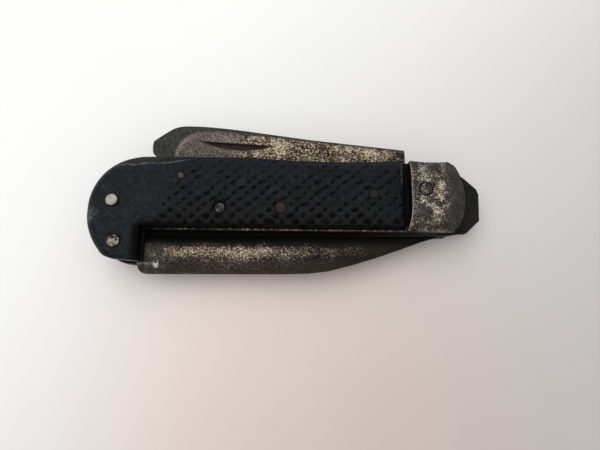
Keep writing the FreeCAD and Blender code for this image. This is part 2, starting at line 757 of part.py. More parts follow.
def make_pieces():
    """Every piece of the knife, by the name of its node."""
    scale = make_scale()
    liner = make_liner()
    bolster = make_bolster()
    bolster_low_z = size["bolster_drop"]
    bolster_top_z = top_z - size["bolster_drop"]
    recess = size["spring_pin_recess"]
    pieces = [
        scale,
        mirrored("far_scale", scale),
        liner,
        mirrored("far_liner", liner),
        bolster,
        mirrored("far_bolster", bolster),
        make_centre_liner(),
        make_blade_spring(),
        make_driver_spring(),
        make_blade(),
        make_opener(),
        make_spike(),
        cylinder("blade_pivot_pin", BLADE_PIN, bolster_low_z, bolster_top_z),
        make_rivet("opener_rivet", OPENER_PIN, size["opener_head_radius"]),
        make_rivet("spike_rivet", SPIKE_PIN, size["spike_head_radius"]),
        cylinder("left_spring_pin", LEFT_SPRING_PIN, recess, top_z - recess),
        cylinder("right_spring_pin", RIGHT_SPRING_PIN, ZERO, top_z),
    ]
    for side, pin in (("left", LEFT_SCALE_PIN), ("right", RIGHT_SCALE_PIN)):
        scale_pin = cylinder(f"near_{side}_scale_pin", pin, near_liner_z, top_z)
        pieces.append(scale_pin)
        pieces.append(mirrored(f"far_{side}_scale_pin", scale_pin))
    return pieces


def check(pieces):
    """Stops on any object that failed and on any piece that isn't one whole solid."""
    for item in doc.Objects:
        if "Invalid" in item.State or "Error" in item.State:
            raise RuntimeError(f"{item.Name} failed: {item.State}")
    for piece in pieces:
        shape = piece.Shape
        if shape.isNull() or not shape.isValid() or len(shape.Solids) != 1:
            raise RuntimeError(f"{piece.Label} is not one valid solid")


def export(pieces):
    """Writes each piece under its own name."""
    os.makedirs("parts", exist_ok=True)
    for piece in pieces:
        piece.Shape.exportStep(f"parts/{piece.Label}.step")
        print(f"{piece.Label}: {piece.Shape.Volume:.1f} cubic millimetres")


pieces = make_pieces()
doc.recompute()
doc.recompute()
check(pieces)
export(pieces)
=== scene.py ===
"""The looks of a folding pocket knife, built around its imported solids.

Lengths are in metres. The knife lies closed on its far scale. +X runs from the tail to the screwdriver tip,
+Y from the spike to the back of the blade, and +Z from the far scale to the near scale.
"""

import math
from functools import reduce

import bmesh
import bpy
import numpy as np
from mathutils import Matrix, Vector, noise
from mathutils.bvhtree import BVHTree
from mathutils.geometry import delaunay_2d_cdt


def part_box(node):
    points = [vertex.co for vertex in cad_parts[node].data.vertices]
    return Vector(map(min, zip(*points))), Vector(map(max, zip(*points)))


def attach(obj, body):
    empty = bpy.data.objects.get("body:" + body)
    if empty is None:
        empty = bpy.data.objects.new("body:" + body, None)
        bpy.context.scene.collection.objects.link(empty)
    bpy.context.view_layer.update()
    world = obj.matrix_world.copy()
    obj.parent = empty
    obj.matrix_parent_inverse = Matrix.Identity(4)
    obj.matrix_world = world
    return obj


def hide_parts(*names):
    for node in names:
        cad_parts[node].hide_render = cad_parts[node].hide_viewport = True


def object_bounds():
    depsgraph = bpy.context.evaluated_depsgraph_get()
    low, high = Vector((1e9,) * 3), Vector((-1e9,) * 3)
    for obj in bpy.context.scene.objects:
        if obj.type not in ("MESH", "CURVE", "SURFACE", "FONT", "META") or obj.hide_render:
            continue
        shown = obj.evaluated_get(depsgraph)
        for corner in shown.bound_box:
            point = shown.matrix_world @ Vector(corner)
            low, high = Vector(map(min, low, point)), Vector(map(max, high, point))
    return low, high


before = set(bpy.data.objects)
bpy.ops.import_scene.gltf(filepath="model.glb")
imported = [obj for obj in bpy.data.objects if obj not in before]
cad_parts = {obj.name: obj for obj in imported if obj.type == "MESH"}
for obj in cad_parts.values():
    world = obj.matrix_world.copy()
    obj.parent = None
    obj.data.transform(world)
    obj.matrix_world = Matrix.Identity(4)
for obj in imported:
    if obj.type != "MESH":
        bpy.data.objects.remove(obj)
cad_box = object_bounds()

MM = 0.001

# Camera, with the focal length and width of the photograph in pixels
PHOTO_WIDTH_PX = 600
FOCAL_LENGTH_PX = 468
SENSOR_WIDTH_MM = 36
CAMERA_PLACE = (2.92 * MM, -32.3 * MM, 127.2 * MM)
CAMERA_TILT = math.radians(12)

# Meshing
WELD_DISTANCE = 0.001 * MM
EDGE_SPACING = 0.28 * MM
EDGE_RINGS = (0.08 * MM, 0.2 * MM, 0.38 * MM)
EDGE_CLEAR_SHARE = 0.55
HOLE_POINTS = 32
INSIDE_OUTLINE = 1
JOIN_SHARE = 1e-6
SMOOTH_ANGLE = math.radians(38)
SECTION_LIFT = 0.05 * MM
CAST_INSET = 0.02 * MM
BLEND_SIDES = 4

# Chequering of the scales: pits at the crossings of two slanting rows. Of two values, the first is for the
# back edge and the second for the worn crown, and a high sharpness makes a pit narrow
CHEQUER_PITCH = 2.2 * MM
CHEQUER_ANGLE = math.radians(39)
CHEQUER_STEPS = 12
CHEQUER_START_SHARES = (-0.03, 0.28)
PIT_DEPTHS = (0.5 * MM, 0.3 * MM)
PIT_LENGTH_SHARPNESS = (0.75, 0.55)
PIT_WIDTH_SHARPNESS = (0.75, 4)
PIT_SPREAD_SHARE = 0.9
PIT_SPREAD_GRAIN = 1.6
PIT_SHIFT_SHARE = 0.26
PIT_SHIFT_GRAIN = 2.6 * MM
MOUTH_FADE_START_Y = 1 * MM
MOUTH_FADE = 8 * MM
MOUTH_FADE_SHARE = 0.45
WEAR_START_Y = -6.8 * MM
WEAR_FADE = 4.2 * MM
FIELD_START_X = (-38 * MM, -29 * MM)
FIELD_FADE = 7 * MM

# Rounding of the scales' edges: each kind of edge has a run, a drop and a power
NO_EDGE = (1 * MM, 0, 1)
DOME = (5 * MM, 2.2 * MM, 2)
BACK_ROOT = (2.6 * MM, 1.6 * MM, 2)
TAIL = (2.6 * MM, 2 * MM, 1.2)
TAIL_SIDE = (2.2 * MM, 1.5 * MM, 2)
EAR_FOOT = (1.0 * MM, 0.7 * MM, 1.6)
EAR_WALL = (2 * MM, 1.7 * MM, 1.9)
SCALE_END = (1.7 * MM, 1.6 * MM, 1.8)
SEAT = (0.4 * MM, 0.2 * MM, 1.5)
EAR_DROP = 0.5 * MM
EAR_RAMP = 9 * MM
EAR_WALL_X = -37 * MM
EAR_WALL_TOP_Y = -9 * MM
EAR_FOOT_Y = -15 * MM
TAIL_X = (-46 * MM, -39.5 * MM, -30 * MM, -22 * MM)
TAIL_SHARES = (0, 1, 0.85, 0)
DOME_START_X = -42 * MM
DOME_RAMP = 16 * MM
LEAST_SHARE = 0.05
BACK_ROOT_X = -31 * MM
RIDGE_LOW_Y = 3 * MM
BACK_SIDE_SHARE = 0.9

# Rounding of the bolsters' edges
BOLSTER_SPACING = 0.3 * MM
NOSE = (3.8 * MM, 2.4 * MM, 1.15)
BOLSTER_MOUTH = (4.1 * MM, 1.5 * MM, 2)
BOLSTER_BACK = (5 * MM, 2.2 * MM, 2)
BOLSTER_END = (0.6 * MM, 0.3 * MM, 1.6)
PIN_RING = (0.25 * MM, 0.12 * MM, 1)
END_SIDE_SHARE = 0.8
NOSE_SIDE_SHARE = -0.45
END_LINE = 0.5 * MM
BOLSTER_DENT = 0.06 * MM
BOLSTER_DENT_GRAIN = 2.2 * MM
BOLSTER_DENT_SEED = 1.5

# Blade
BLADE_SPACING = 0.34 * MM
SPINE_SIDE = (-0.5, 0.866)
SPINE_SIDE_SHARE = 0.25
SWEDGE_SHARES = ((0.067, 0.31), (0.098, 0.222), (0.123, 0.158), (0.154, 0.1), (0.215, 0.078), (0.365, 0.062),
                 (0.55, 0.042), (0.93, 0.026))
SWEDGE_SOFT_SHARES = (0.7, 0.3)
SWEDGE_DROPS = (0.32 * MM, 0.75 * MM)
SWEDGE_TIP_SHARES = (0.2, 0.09)
BLADE_EDGE = (0.22 * MM, 0.12 * MM, 2)
NICK_START = (-24.1 * MM, 15.35 * MM)
NICK_END = (-3.3 * MM, 13.9 * MM)
NICK_SAG = 2.1 * MM
NICK_DEPTH = 0.6 * MM
NICK_SPACING = 0.13 * MM
NICK_STEEP_SHARE = 0.22
NICK_END_SHARE = 1.4
NICK_DARK_SHARE = 6
RUB_LINE_SHARES = (1.06, 0.06)

# Spike
SPIKE_POINTS = 96
SPIKE_STEP = 0.45 * MM
SPIKE_FINE_STEP = 0.16 * MM
SPIKE_FINE_LENGTH = 9 * MM
BUTT_SHARE = 0.78
LOBE_FULLNESS_SHARE = 2.2
FLAT_RAMP = 3.2 * MM
FLAT_SOFTNESS = 0.12 * MM
FREE_SHARE = 1.2

# Pins and rivets
TURNED_POINTS = 56
PIN_CHAMFER = 0.14 * MM
PIN_CROWN = 0.07 * MM
PIN_END_SHARES = ((0.3, 0), (0.65, 0.4))
HEAD_HEIGHT = 0.5 * MM
HEAD_SHARES = ((0.3, 0), (0.62, 0.04), (0.8, 0.16), (0.93, 0.42), (1, 0.72), (0.985, 1))
HEAD_WOBBLE_SHARE = 0.035
WOBBLE_SHARES = ((0.5, 2, 1), (0.3, 3, 2), (0.2, 5, 1))

# Plates
SOFT_EDGE = 0.1 * MM
SOFT_STEPS = 2
FLAT_ANGLE = math.radians(1)
SHARP_ANGLE = math.radians(28)

# Materials. Their places, grains and depths are in millimetres. A pair is where a tone begins and where it
# is full, or the middle and reach of a line. A three is a place on the knife's face or beside a pin, and a
# reach. Specks have a fine grain, a coarse grain and the share by which their cover changes
RAGGED_GRAIN = 1.3
CORE_SHARE = 1 / 3
FINE_GRAIN = 0.45
FINE_DEPTH = 0.06
SPECK_DEPTH = 0.03
FAINT_DEPTH = 0.02

# Scale plastic
CLOUD_GRAIN = 6
SWELL_GRAIN = 2.5
SWELL_DEPTH = 0.08
SCALE_BACK_SHADE_Y = (-8, -3)
SCALE_SKY_SHEEN_Y = (-3, 7)
SCALE_TINTS = ((4.1, (0.0075, 0.0125, 0.0098)), (3.3, (0.0085, 0.0105, 0.0185)),
               (1.6, (0.0125, 0.0145, 0.018)))
MOTTLE_GRAIN = 1.1
EAR_MOTTLES = ((0.68, (0.022, 0.027, 0.031)), (0.34, (0.0028, 0.0042, 0.0048)))
PIT_GRAIN = 0.75
DUST_GRAIN = 0.9
BEVEL_BROWN_Y = (0, 5)
RIDGE_LINE_SHARES = (0.98, 0.16)
RIDGE_GRAIN = 1.6
EAR_CHIPS = (-49.8, -5.8, 3.2)
CHIP_GRAIN = 0.6
MOUTH_SHADE_GAP = (0.8, 0.3)
MOUTH_SHADE_X = (-30, -22)
WALL_SHADE_GAP = (2.2, 0.5)
BACK_SHADE_GAP = (1.2, 0.45)
END_SHADE_X = (28.2, 29.1)
END_STREAK_X = (28.7, 0.45)
END_STREAK_Y = (0.5, 3)
STREAK_GRAIN = 1.1
# Painted shadows on the scale beside the rivet heads and in the spring pin's recess: a shift from each pin's
# middle and a reach
SCALE_PIN_SHADOWS = {
    "left_spring_pin": (0, 0.55, 1.98),
    "opener_rivet": (0.35, -0.25, 1.95),
    "spike_rivet": (0.25, 0.1, 2.05),
}
SHADOW_RIM = 0.35
PIN_STAIN = (0, -0.6, 1.9)
PIN_RUST = (0.5, -2.7, 1.6)

# Blade and spike steel
BLADE_SPECKS = (0.5, 4.2, 0.45)
BLADE_X = (-36, 36)
BLADE_ALONG_SHARES = ((0, 0.44), (0.3, 0.46), (0.4, 0.505), (0.55, 0.505), (0.7, 0.48), (0.85, 0.505),
                      (1, 0.455))
BLADE_MOUTH_Y = (12, 10)
BLADE_GREY_X = (-8, -19)
SWEDGE_GRAIN = 1.1
CHARCOAL_GRAIN = 0.8
RUB_GRAIN = 1.2
SPIKE_SPECKS = (0.45, 5, 0.35)
SPIKE_X = (-36, 38)
SPIKE_ALONG_SHARES = ((0, 0.5), (0.2, 0.54), (0.45, 0.5), (0.7, 0.415), (1, 0.34))
SPIKE_CREST_LIGHT_Y = (-19.5, -10.5)
SPIKE_CREST_LIGHT_SHARES = ((0.1, 0.43), (0.3, 0.46), (0.45, 0.51), (0.6, 0.53), (0.75, 0.5), (0.84, 0.38))
SPIKE_BROWN_SHADE_Y = (-15.6, -17.6)
SPIKE_GREEN_X = (5, 26)
SPIKE_SHADE_Y = (-12.9, -11.7)
SPIKE_ROOT_X = (-29.5, -32)
SPIKE_CHIP = (-33.3, -17.5, 1.1)
ROOT_GRAIN = 1.1
ROOT_RAGGED_GRAIN = 1.5
ROOT_LINE_Y = (-17.3, 0.45)
ROOT_LINE_X = (-32.2, -33.4)
ROOT_LINE_GRAIN = 0.8

# Bolster, spring and liner steel
BOLSTER_SPECKS = (0.42, 2.2, 0.45)
BOLSTER_STAINS = ((33.6, -5, 2.4), (40.6, -6, 2.2), (36.8, 6.2, 1.8), (35.4, 1.6, 1.5), (32, 7.2, 1.6))
BOLSTER_RUBS = ((36.7, -4.6, 1.7), (36.8, -7.2, 1.4), (38.2, -0.6, 1.7), (33.5, -1.7, 1.1), (34.2, 5.2, 1.8),
                (38.2, 1.8, 1.5))
STAIN_GRAIN = 0.7
NOSE_GREY_X = (38.8, 41.4)
NOSE_GRAIN = 0.9
NOSE_RAGGED_GRAIN = 1.2
PIN_RING_GAP = (1.65, 0.4)
PIN_RING_GRAIN = 1.6
END_GRAIN = 1.4
GROOVE_X = (31.6, 31.2)
UNDER_Z = (6, 4)
UNDER_Y = (-8, -8.8)
SPRING_SPECKS = (0.5, 5, 0.5)
SPRING_SHADE_Y = (-7.5, -8.6)
SPRING_SHADE_X = (44, 41)
LINER_SPECKS = (0.6, 6, 0.6)
LINER_DIM_X = (-15, -22)
LINER_INNER_Y = (-8.5, -7.9)
LINER_ROOT_X = (-31.5, -34.5)
LINER_DEEP_Z = (10.6, 10.2)

# Metal of the rivets and pins. Each rivet has its material's name, a share of brown spots and the seed of
# its uneven head. Each pin has its material's name, a slot, dark, middle and pale tones, its least metal
# share, the share of its radius inside its rim of painted shade and the share of pale wear there
RIVET_SPECKS = (0.8, 2.2, 0.5)
RIVETS = {
    "opener_rivet": ("bright_rivet_steel", 0.0, 0.7),
    "spike_rivet": ("spotted_rivet_steel", 0.21, 2.1),
}
PIN_SPECKS = (0.45, 2, 0.4)
PIN_LEVEL_SHARES = (0.34, 0.52, 0.72)
PIN_WEAR_SHARES = (0.14, 0.16)
PIN_SHADE_RIM_SHARE = 0.12
PIN_WEAR_GRAIN = 1
STEEL_TONES = ((0.01, 0.0075, 0.0077), (0.026, 0.02, 0.0205), (0.115, 0.1, 0.097))
COPPER_TONES = ((0.013, 0.0072, 0.0055), (0.03, 0.016, 0.0125), (0.065, 0.034, 0.026))
OLIVE_TONES = ((0.016, 0.015, 0.0115), (0.05, 0.048, 0.039), (0.16, 0.155, 0.125))
FAINT_TONES = ((0.007, 0.0065, 0.006), (0.0145, 0.0135, 0.0118), (0.034, 0.031, 0.027))
PINS = {
    "left_spring_pin": ("dull_pin_steel", "pin_steel", STEEL_TONES, 0.3, 0.76, 0.8),
    "right_spring_pin": ("copper_pin", "pin_brass", COPPER_TONES, 0.2, 0.84, 0.0),
    "left_scale_pin": ("left_pin_brass", "pin_brass", OLIVE_TONES, 0.2, 0.8, 0.0),
    "right_scale_pin": ("right_pin_brass", "pin_brass", FAINT_TONES, 0.2, 0.8, 0.0),
}

# Floor and light
FLOOR_REACH = 2.0
FLOOR_DROP = 0.02 * MM
FLOOR_LIGHT_FALLOFF = (-95, 165)
FLOOR_PINK_PLACE = (2, -52)
FLOOR_PINK_GAP = (85, 15)
FLOOR_CLOUD_GRAIN = 60
FLOOR_GRAIN = 0.8
FLOOR_DEPTH = 0.01
SKY_FRONT = (0.58, 0.555, 0.545, 1)
SKY_BACK = (0.8, 0.84, 0.9, 1)
KEY_PLACE = (-0.14, 0.14, 0.62)
KEY_WIDTH = 0.6
KEY_POWER = 2.1
KEY_COLOUR = (1, 0.99, 0.97)


def smooth(share):
    """A soft step from 0 to 1."""
    share = np.clip(share, 0, 1)
    return share * share * (3 - 2 * share)


def between(pair, share):
    """The value at a share of the way from the first of a pair to the second."""
    return pair[0] + (pair[1] - pair[0]) * share


def ripple(points, grain, seed):
    """Smooth uneven values from about -1 to 1 at each point, with a grain of a given size."""
    return np.array([noise.noise(Vector((x / grain, y / grain, seed))) for x, y in points])


def welded(node):
    """A copy of a CAD node's mesh with its split corners joined."""
    mesh = bmesh.new()
    mesh.from_mesh(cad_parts[node].data)
    bmesh.ops.remove_doubles(mesh, verts=mesh.verts[:], dist=WELD_DISTANCE)
    return mesh


def perimeter(loop):
    """The length of a closed line."""
    return np.hypot(*(np.roll(loop, -1, axis=0) - loop).T).sum()


def signed_area(loop):
    """The area inside a closed line, above zero if it runs counterclockwise."""
    after = np.roll(loop, -1, axis=0)
    return (loop[:, 0] * after[:, 1] - after[:, 0] * loop[:, 1]).sum() / 2


def section(node, level):
    """The closed lines where a level plane cuts a CAD node, the longest first, as rows of x and y."""
    mesh = welded(node)
    parts = mesh.verts[:] + mesh.edges[:] + mesh.faces[:]
    cut = bmesh.ops.bisect_plane(mesh, geom=parts, plane_co=(0, 0, level), plane_no=(0, 0, 1))
    beside = {}
    for item in cut["geom_cut"]:
        if isinstance(item, bmesh.types.BMEdge):
            for vert in item.verts:
                beside.setdefault(vert, []).append(item.other_vert(vert))
    loops = []
    seen = set()
    for start in beside:
        onward = [] if start in seen else [start]
        loop = []
        while onward:
            vert = onward[0]
            seen.add(vert)
            loop.append(vert.co[:2])
            onward = [other for other in beside[vert] if other not in seen]
        if loop:
            loops.append(np.array(loop))
    mesh.free()
    return sorted(loops, key=perimeter, reverse=True)


def even(loop, spacing):
    """The same closed line with evenly spaced points."""
    closed = np.vstack([loop, loop[:1]])
    along = np.concatenate([[0], np.cumsum(np.hypot(*np.diff(closed, axis=0).T))])
    count = max(round(along[-1] / spacing), HOLE_POINTS)
    places = np.linspace(0, along[-1], count, endpoint=False)
    return np.column_stack([np.interp(places, along, closed[:, axis]) for axis in (0, 1)])


def inward(loop):
    """Unit steps from each point of a line into the piece on its left."""
    way = np.roll(loop, -1, axis=0) - np.roll(loop, 1, axis=0)
    side = np.column_stack([-way[:, 1], way[:, 0]])
    return side / np.linalg.norm(side, axis=1)[:, None]


def inside(points, loops):
    """Whether each point lies within the outline and outside its holes."""
    odd = np.zeros(len(points), bool)
    for loop in loops:
        for (x0, y0), (x1, y1) in zip(loop, np.roll(loop, -1, axis=0)):
            if y0 != y1:
                crosses = (y0 > points[:, 1]) != (y1 > points[:, 1])
                odd ^= crosses & (points[:, 0] < x0 + (x1 - x0) * (points[:, 1] - y0) / (y1 - y0))
    return odd


def gaps_to_sides(points, line, closed=True):
    """For each side of a line, how far every point lies from it."""
    ends = np.roll(line, -1, axis=0) if closed else line[1:]
    for start, end in zip(line, ends):
        run = end - start
        share = np.clip((points - start) @ run / (run @ run), 0, 1)
        gap = points - start - share[:, None] * run
        yield np.hypot(gap[:, 0], gap[:, 1])


def gap_to(points, line, closed=True):
    """How far each point lies from a line."""
    nearest = np.full(len(points), np.inf)
    for gap in gaps_to_sides(points, line, closed):
        nearest = np.minimum(nearest, gap)
    return nearest


def nearest_gap(points, places):
    """How far each point lies from the nearest of some places."""
    return np.min([np.hypot(*(points - place).T) for place in places], axis=0)


def rounding(points, loop, kinds):
    """How far the rounded edges along a loop lower each point, with a (run, drop, power) for each side."""
    lowered = np.zeros(len(points))
    for gap, (run, drop, power) in zip(gaps_to_sides(points, loop), kinds):
        lowered = np.maximum(lowered, drop * np.clip(1 - gap / run, 0, 1) ** power)
    return lowered


def blended(kinds):
    """The same kinds of edge, each mixed with those a few sides away."""
    kinds = np.array(kinds, float)
    shifts = range(-BLEND_SIDES, BLEND_SIDES + 1)
    return sum(np.roll(kinds, shift, axis=0) for shift in shifts) / len(shifts)


def lattice(low, high, first, second):
    """Every point that is a whole number of two steps from the origin, within a box."""
    basis = np.column_stack([first, second])
    corners = np.array([(x, y) for x in (low[0], high[0]) for y in (low[1], high[1])])
    reach = np.linalg.solve(basis, corners.T)
    start = np.floor(reach.min(axis=1)).astype(int)
    end = np.ceil(reach.max(axis=1)).astype(int) + 1
    counts = np.mgrid[start[0]:end[0], start[1]:end[1]].reshape(2, -1)
    return (basis @ counts).T


def square_lattice(low, high, spacing):
    """Points of a square grid within a box."""
    return lattice(low, high, (spacing, 0), (0, spacing))


def fill(loops, inner):
    """Points and triangles that cover a piece, through its outline, its holes and some inner points."""
    points = np.vstack([*loops, inner])
    sides = []
    first = 0
    for loop in loops:
        numbers = np.arange(first, first + len(loop))
        sides += zip(numbers.tolist(), np.roll(numbers, -1).tolist())
        first += len(loop)
    places = [Vector(point / MM) for point in points]
    _, _, faces, sources, _, _ = delaunay_2d_cdt(places, sides, [], INSIDE_OUTLINE, JOIN_SHARE)
    triangles = np.array([[sources[corner][0] for corner in face] for face in faces])
    a, b, c = (points[triangles[:, number]] for number in range(3))
    left = (b - a)[:, 0] * (c - a)[:, 1] - (b - a)[:, 1] * (c - a)[:, 0] > 0
    triangles = np.where(left[:, None], triangles, triangles[:, ::-1])
    owners = np.concatenate([np.full(len(loop), number) for number, loop in enumerate([*loops, inner])])
    owners = owners[triangles]
    hole = (owners > 0) & (owners < len(loops)) & (owners == owners[:, :1])
    return points, triangles[~hole.all(axis=1)]


def rim(triangles):
    """The directed sides that only one triangle has, along the outline and the holes."""
    sides = np.vstack([triangles[:, [0, 1]], triangles[:, [1, 2]], triangles[:, [2, 0]]]).tolist()
    known = {tuple(side) for side in sides}
    return [side for side in sides if (side[1], side[0]) not in known]


class Plan:
    """A piece seen from above: its outline and holes, and triangles that cover it."""

    def __init__(self, node, level, grid, spacing):
        self.loops = []
        for number, loop in enumerate(section(node, level)):
            loop = even(loop, EDGE_SPACING)
            turns = signed_area(loop) if number == 0 else -signed_area(loop)
            self.loops.append(loop if turns > 0 else loop[::-1])
        rings = [loop + inward(loop) * gap for gap in EDGE_RINGS for loop in self.loops]
        gaps = [gap for gap in EDGE_RINGS for loop in self.loops for _ in loop]
        candidates = np.vstack([*rings, grid])
        wanted = np.concatenate([gaps, np.full(len(grid), EDGE_RINGS[-1] + spacing)])
        nearest = np.min([gap_to(candidates, loop) for loop in self.loops], axis=0)
        keep = inside(candidates, self.loops) & (nearest > wanted * (1 - EDGE_CLEAR_SHARE / 2))
        self.points, self.triangles = fill(self.loops, candidates[keep])
        self.rim_count = sum(len(loop) for loop in self.loops)

    def cast(self, node, upward):
        """The height of a CAD node over each point, from below or from above."""
        mesh = welded(node)
        tree = BVHTree.FromBMesh(mesh)
        mesh.free()
        low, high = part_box(node)
        start = low.z - MM if upward else high.z + MM
        way = Vector((0, 0, 1 if upward else -1))
        edges = np.vstack([loop + inward(loop) * CAST_INSET for loop in self.loops])
        heights = []
        for x, y in np.vstack([edges, self.points[self.rim_count:]]):
            place = tree.ray_cast(Vector((x, y, start)), way)[0]
            heights.append(place.z if place else np.nan)
        return np.array(heights)

    def solid(self, top, bottom):
        """Corners and faces of the solid between two heights over every point."""
        count = len(self.points)
        corners = np.vstack([np.column_stack([self.points, top]), np.column_stack([self.points, bottom])])
        faces = self.triangles.tolist() + (self.triangles[:, ::-1] + count).tolist()
        return corners, faces + self.walls(count)

    def block(self, top, floor):
        """Corners and faces of the solid between a height over every point and a flat floor."""
        count = len(self.points)
        edges, below = fill(self.loops, np.empty((0, 2)))
        feet = np.column_stack([edges, np.full(len(edges), floor)])
        corners = np.vstack([np.column_stack([self.points, top]), feet])
        faces = self.triangles.tolist() + (below[:, ::-1] + count).tolist()
        return corners, faces + self.walls(count)

    def walls(self, count):
        """The upright faces along the outline and the holes."""
        return [[first, first + count, last + count, last] for first, last in rim(self.triangles)]


def loft(rings):
    """Corners and faces of the closed skin over rings of as many points, capped at both ends."""
    count = len(rings[0])
    corners = np.vstack(rings)
    faces = []
    for row in range(len(rings) - 1):
        for number in range(count):
            after = (number + 1) % count
            low, high = row * count, (row + 1) * count
            faces.append([low + number, low + after, high + after, high + number])
    faces.append(list(range(count))[::-1])
    faces.append(list(range(len(corners) - count, len(corners))))
    return corners, faces


def mirrored(corners, faces):
    """The same mesh on the other side of the knife's middle plane."""
    total = cad_box[0].z + cad_box[1].z
    return np.column_stack([corners[:, :2], total - corners[:, 2]]), [face[::-1] for face in faces]


def new_mesh(name, corners, faces):
    """A named mesh of corners and faces."""
    mesh = bpy.data.meshes.new(name)
    mesh.from_pydata([tuple(corner) for corner in corners], [], faces)
    return mesh


def add_object(name, data):
    """A named object in the scene."""
    item = bpy.data.objects.new(name, data)
    bpy.context.scene.collection.objects.link(item)
    return item


def add_piece(name, corners, faces, body, material, slot, nodes, fields=None):
    """A named piece of a mesh, in its material, that rides on a body in place of CAD nodes."""
    mesh = new_mesh(name, corners, faces)
    for field, values in (fields or {}).items():
        attribute = mesh.attributes.new(field, "FLOAT", "POINT")
        attribute.data.foreach_set("value", np.resize(values, len(mesh.vertices)).astype(np.float32))
    mesh.shade_smooth()
    mesh.set_sharp_from_angle(angle=SMOOTH_ANGLE)
    mesh.materials.append(material)
    piece = add_object(name, mesh)
    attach(piece, body)
    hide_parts(*nodes)
    return piece


def add_pair(node, look, mesh, material, slot, fields):
    """A near piece of the handle and its mirror image on the far side."""
    for side, (corners, faces) in (("near", mesh), ("far", mirrored(*mesh))):
        name = f"{side}_{node}"
        add_piece(f"{name}_{look}", corners, faces, "handle", material, slot, [name], fields)


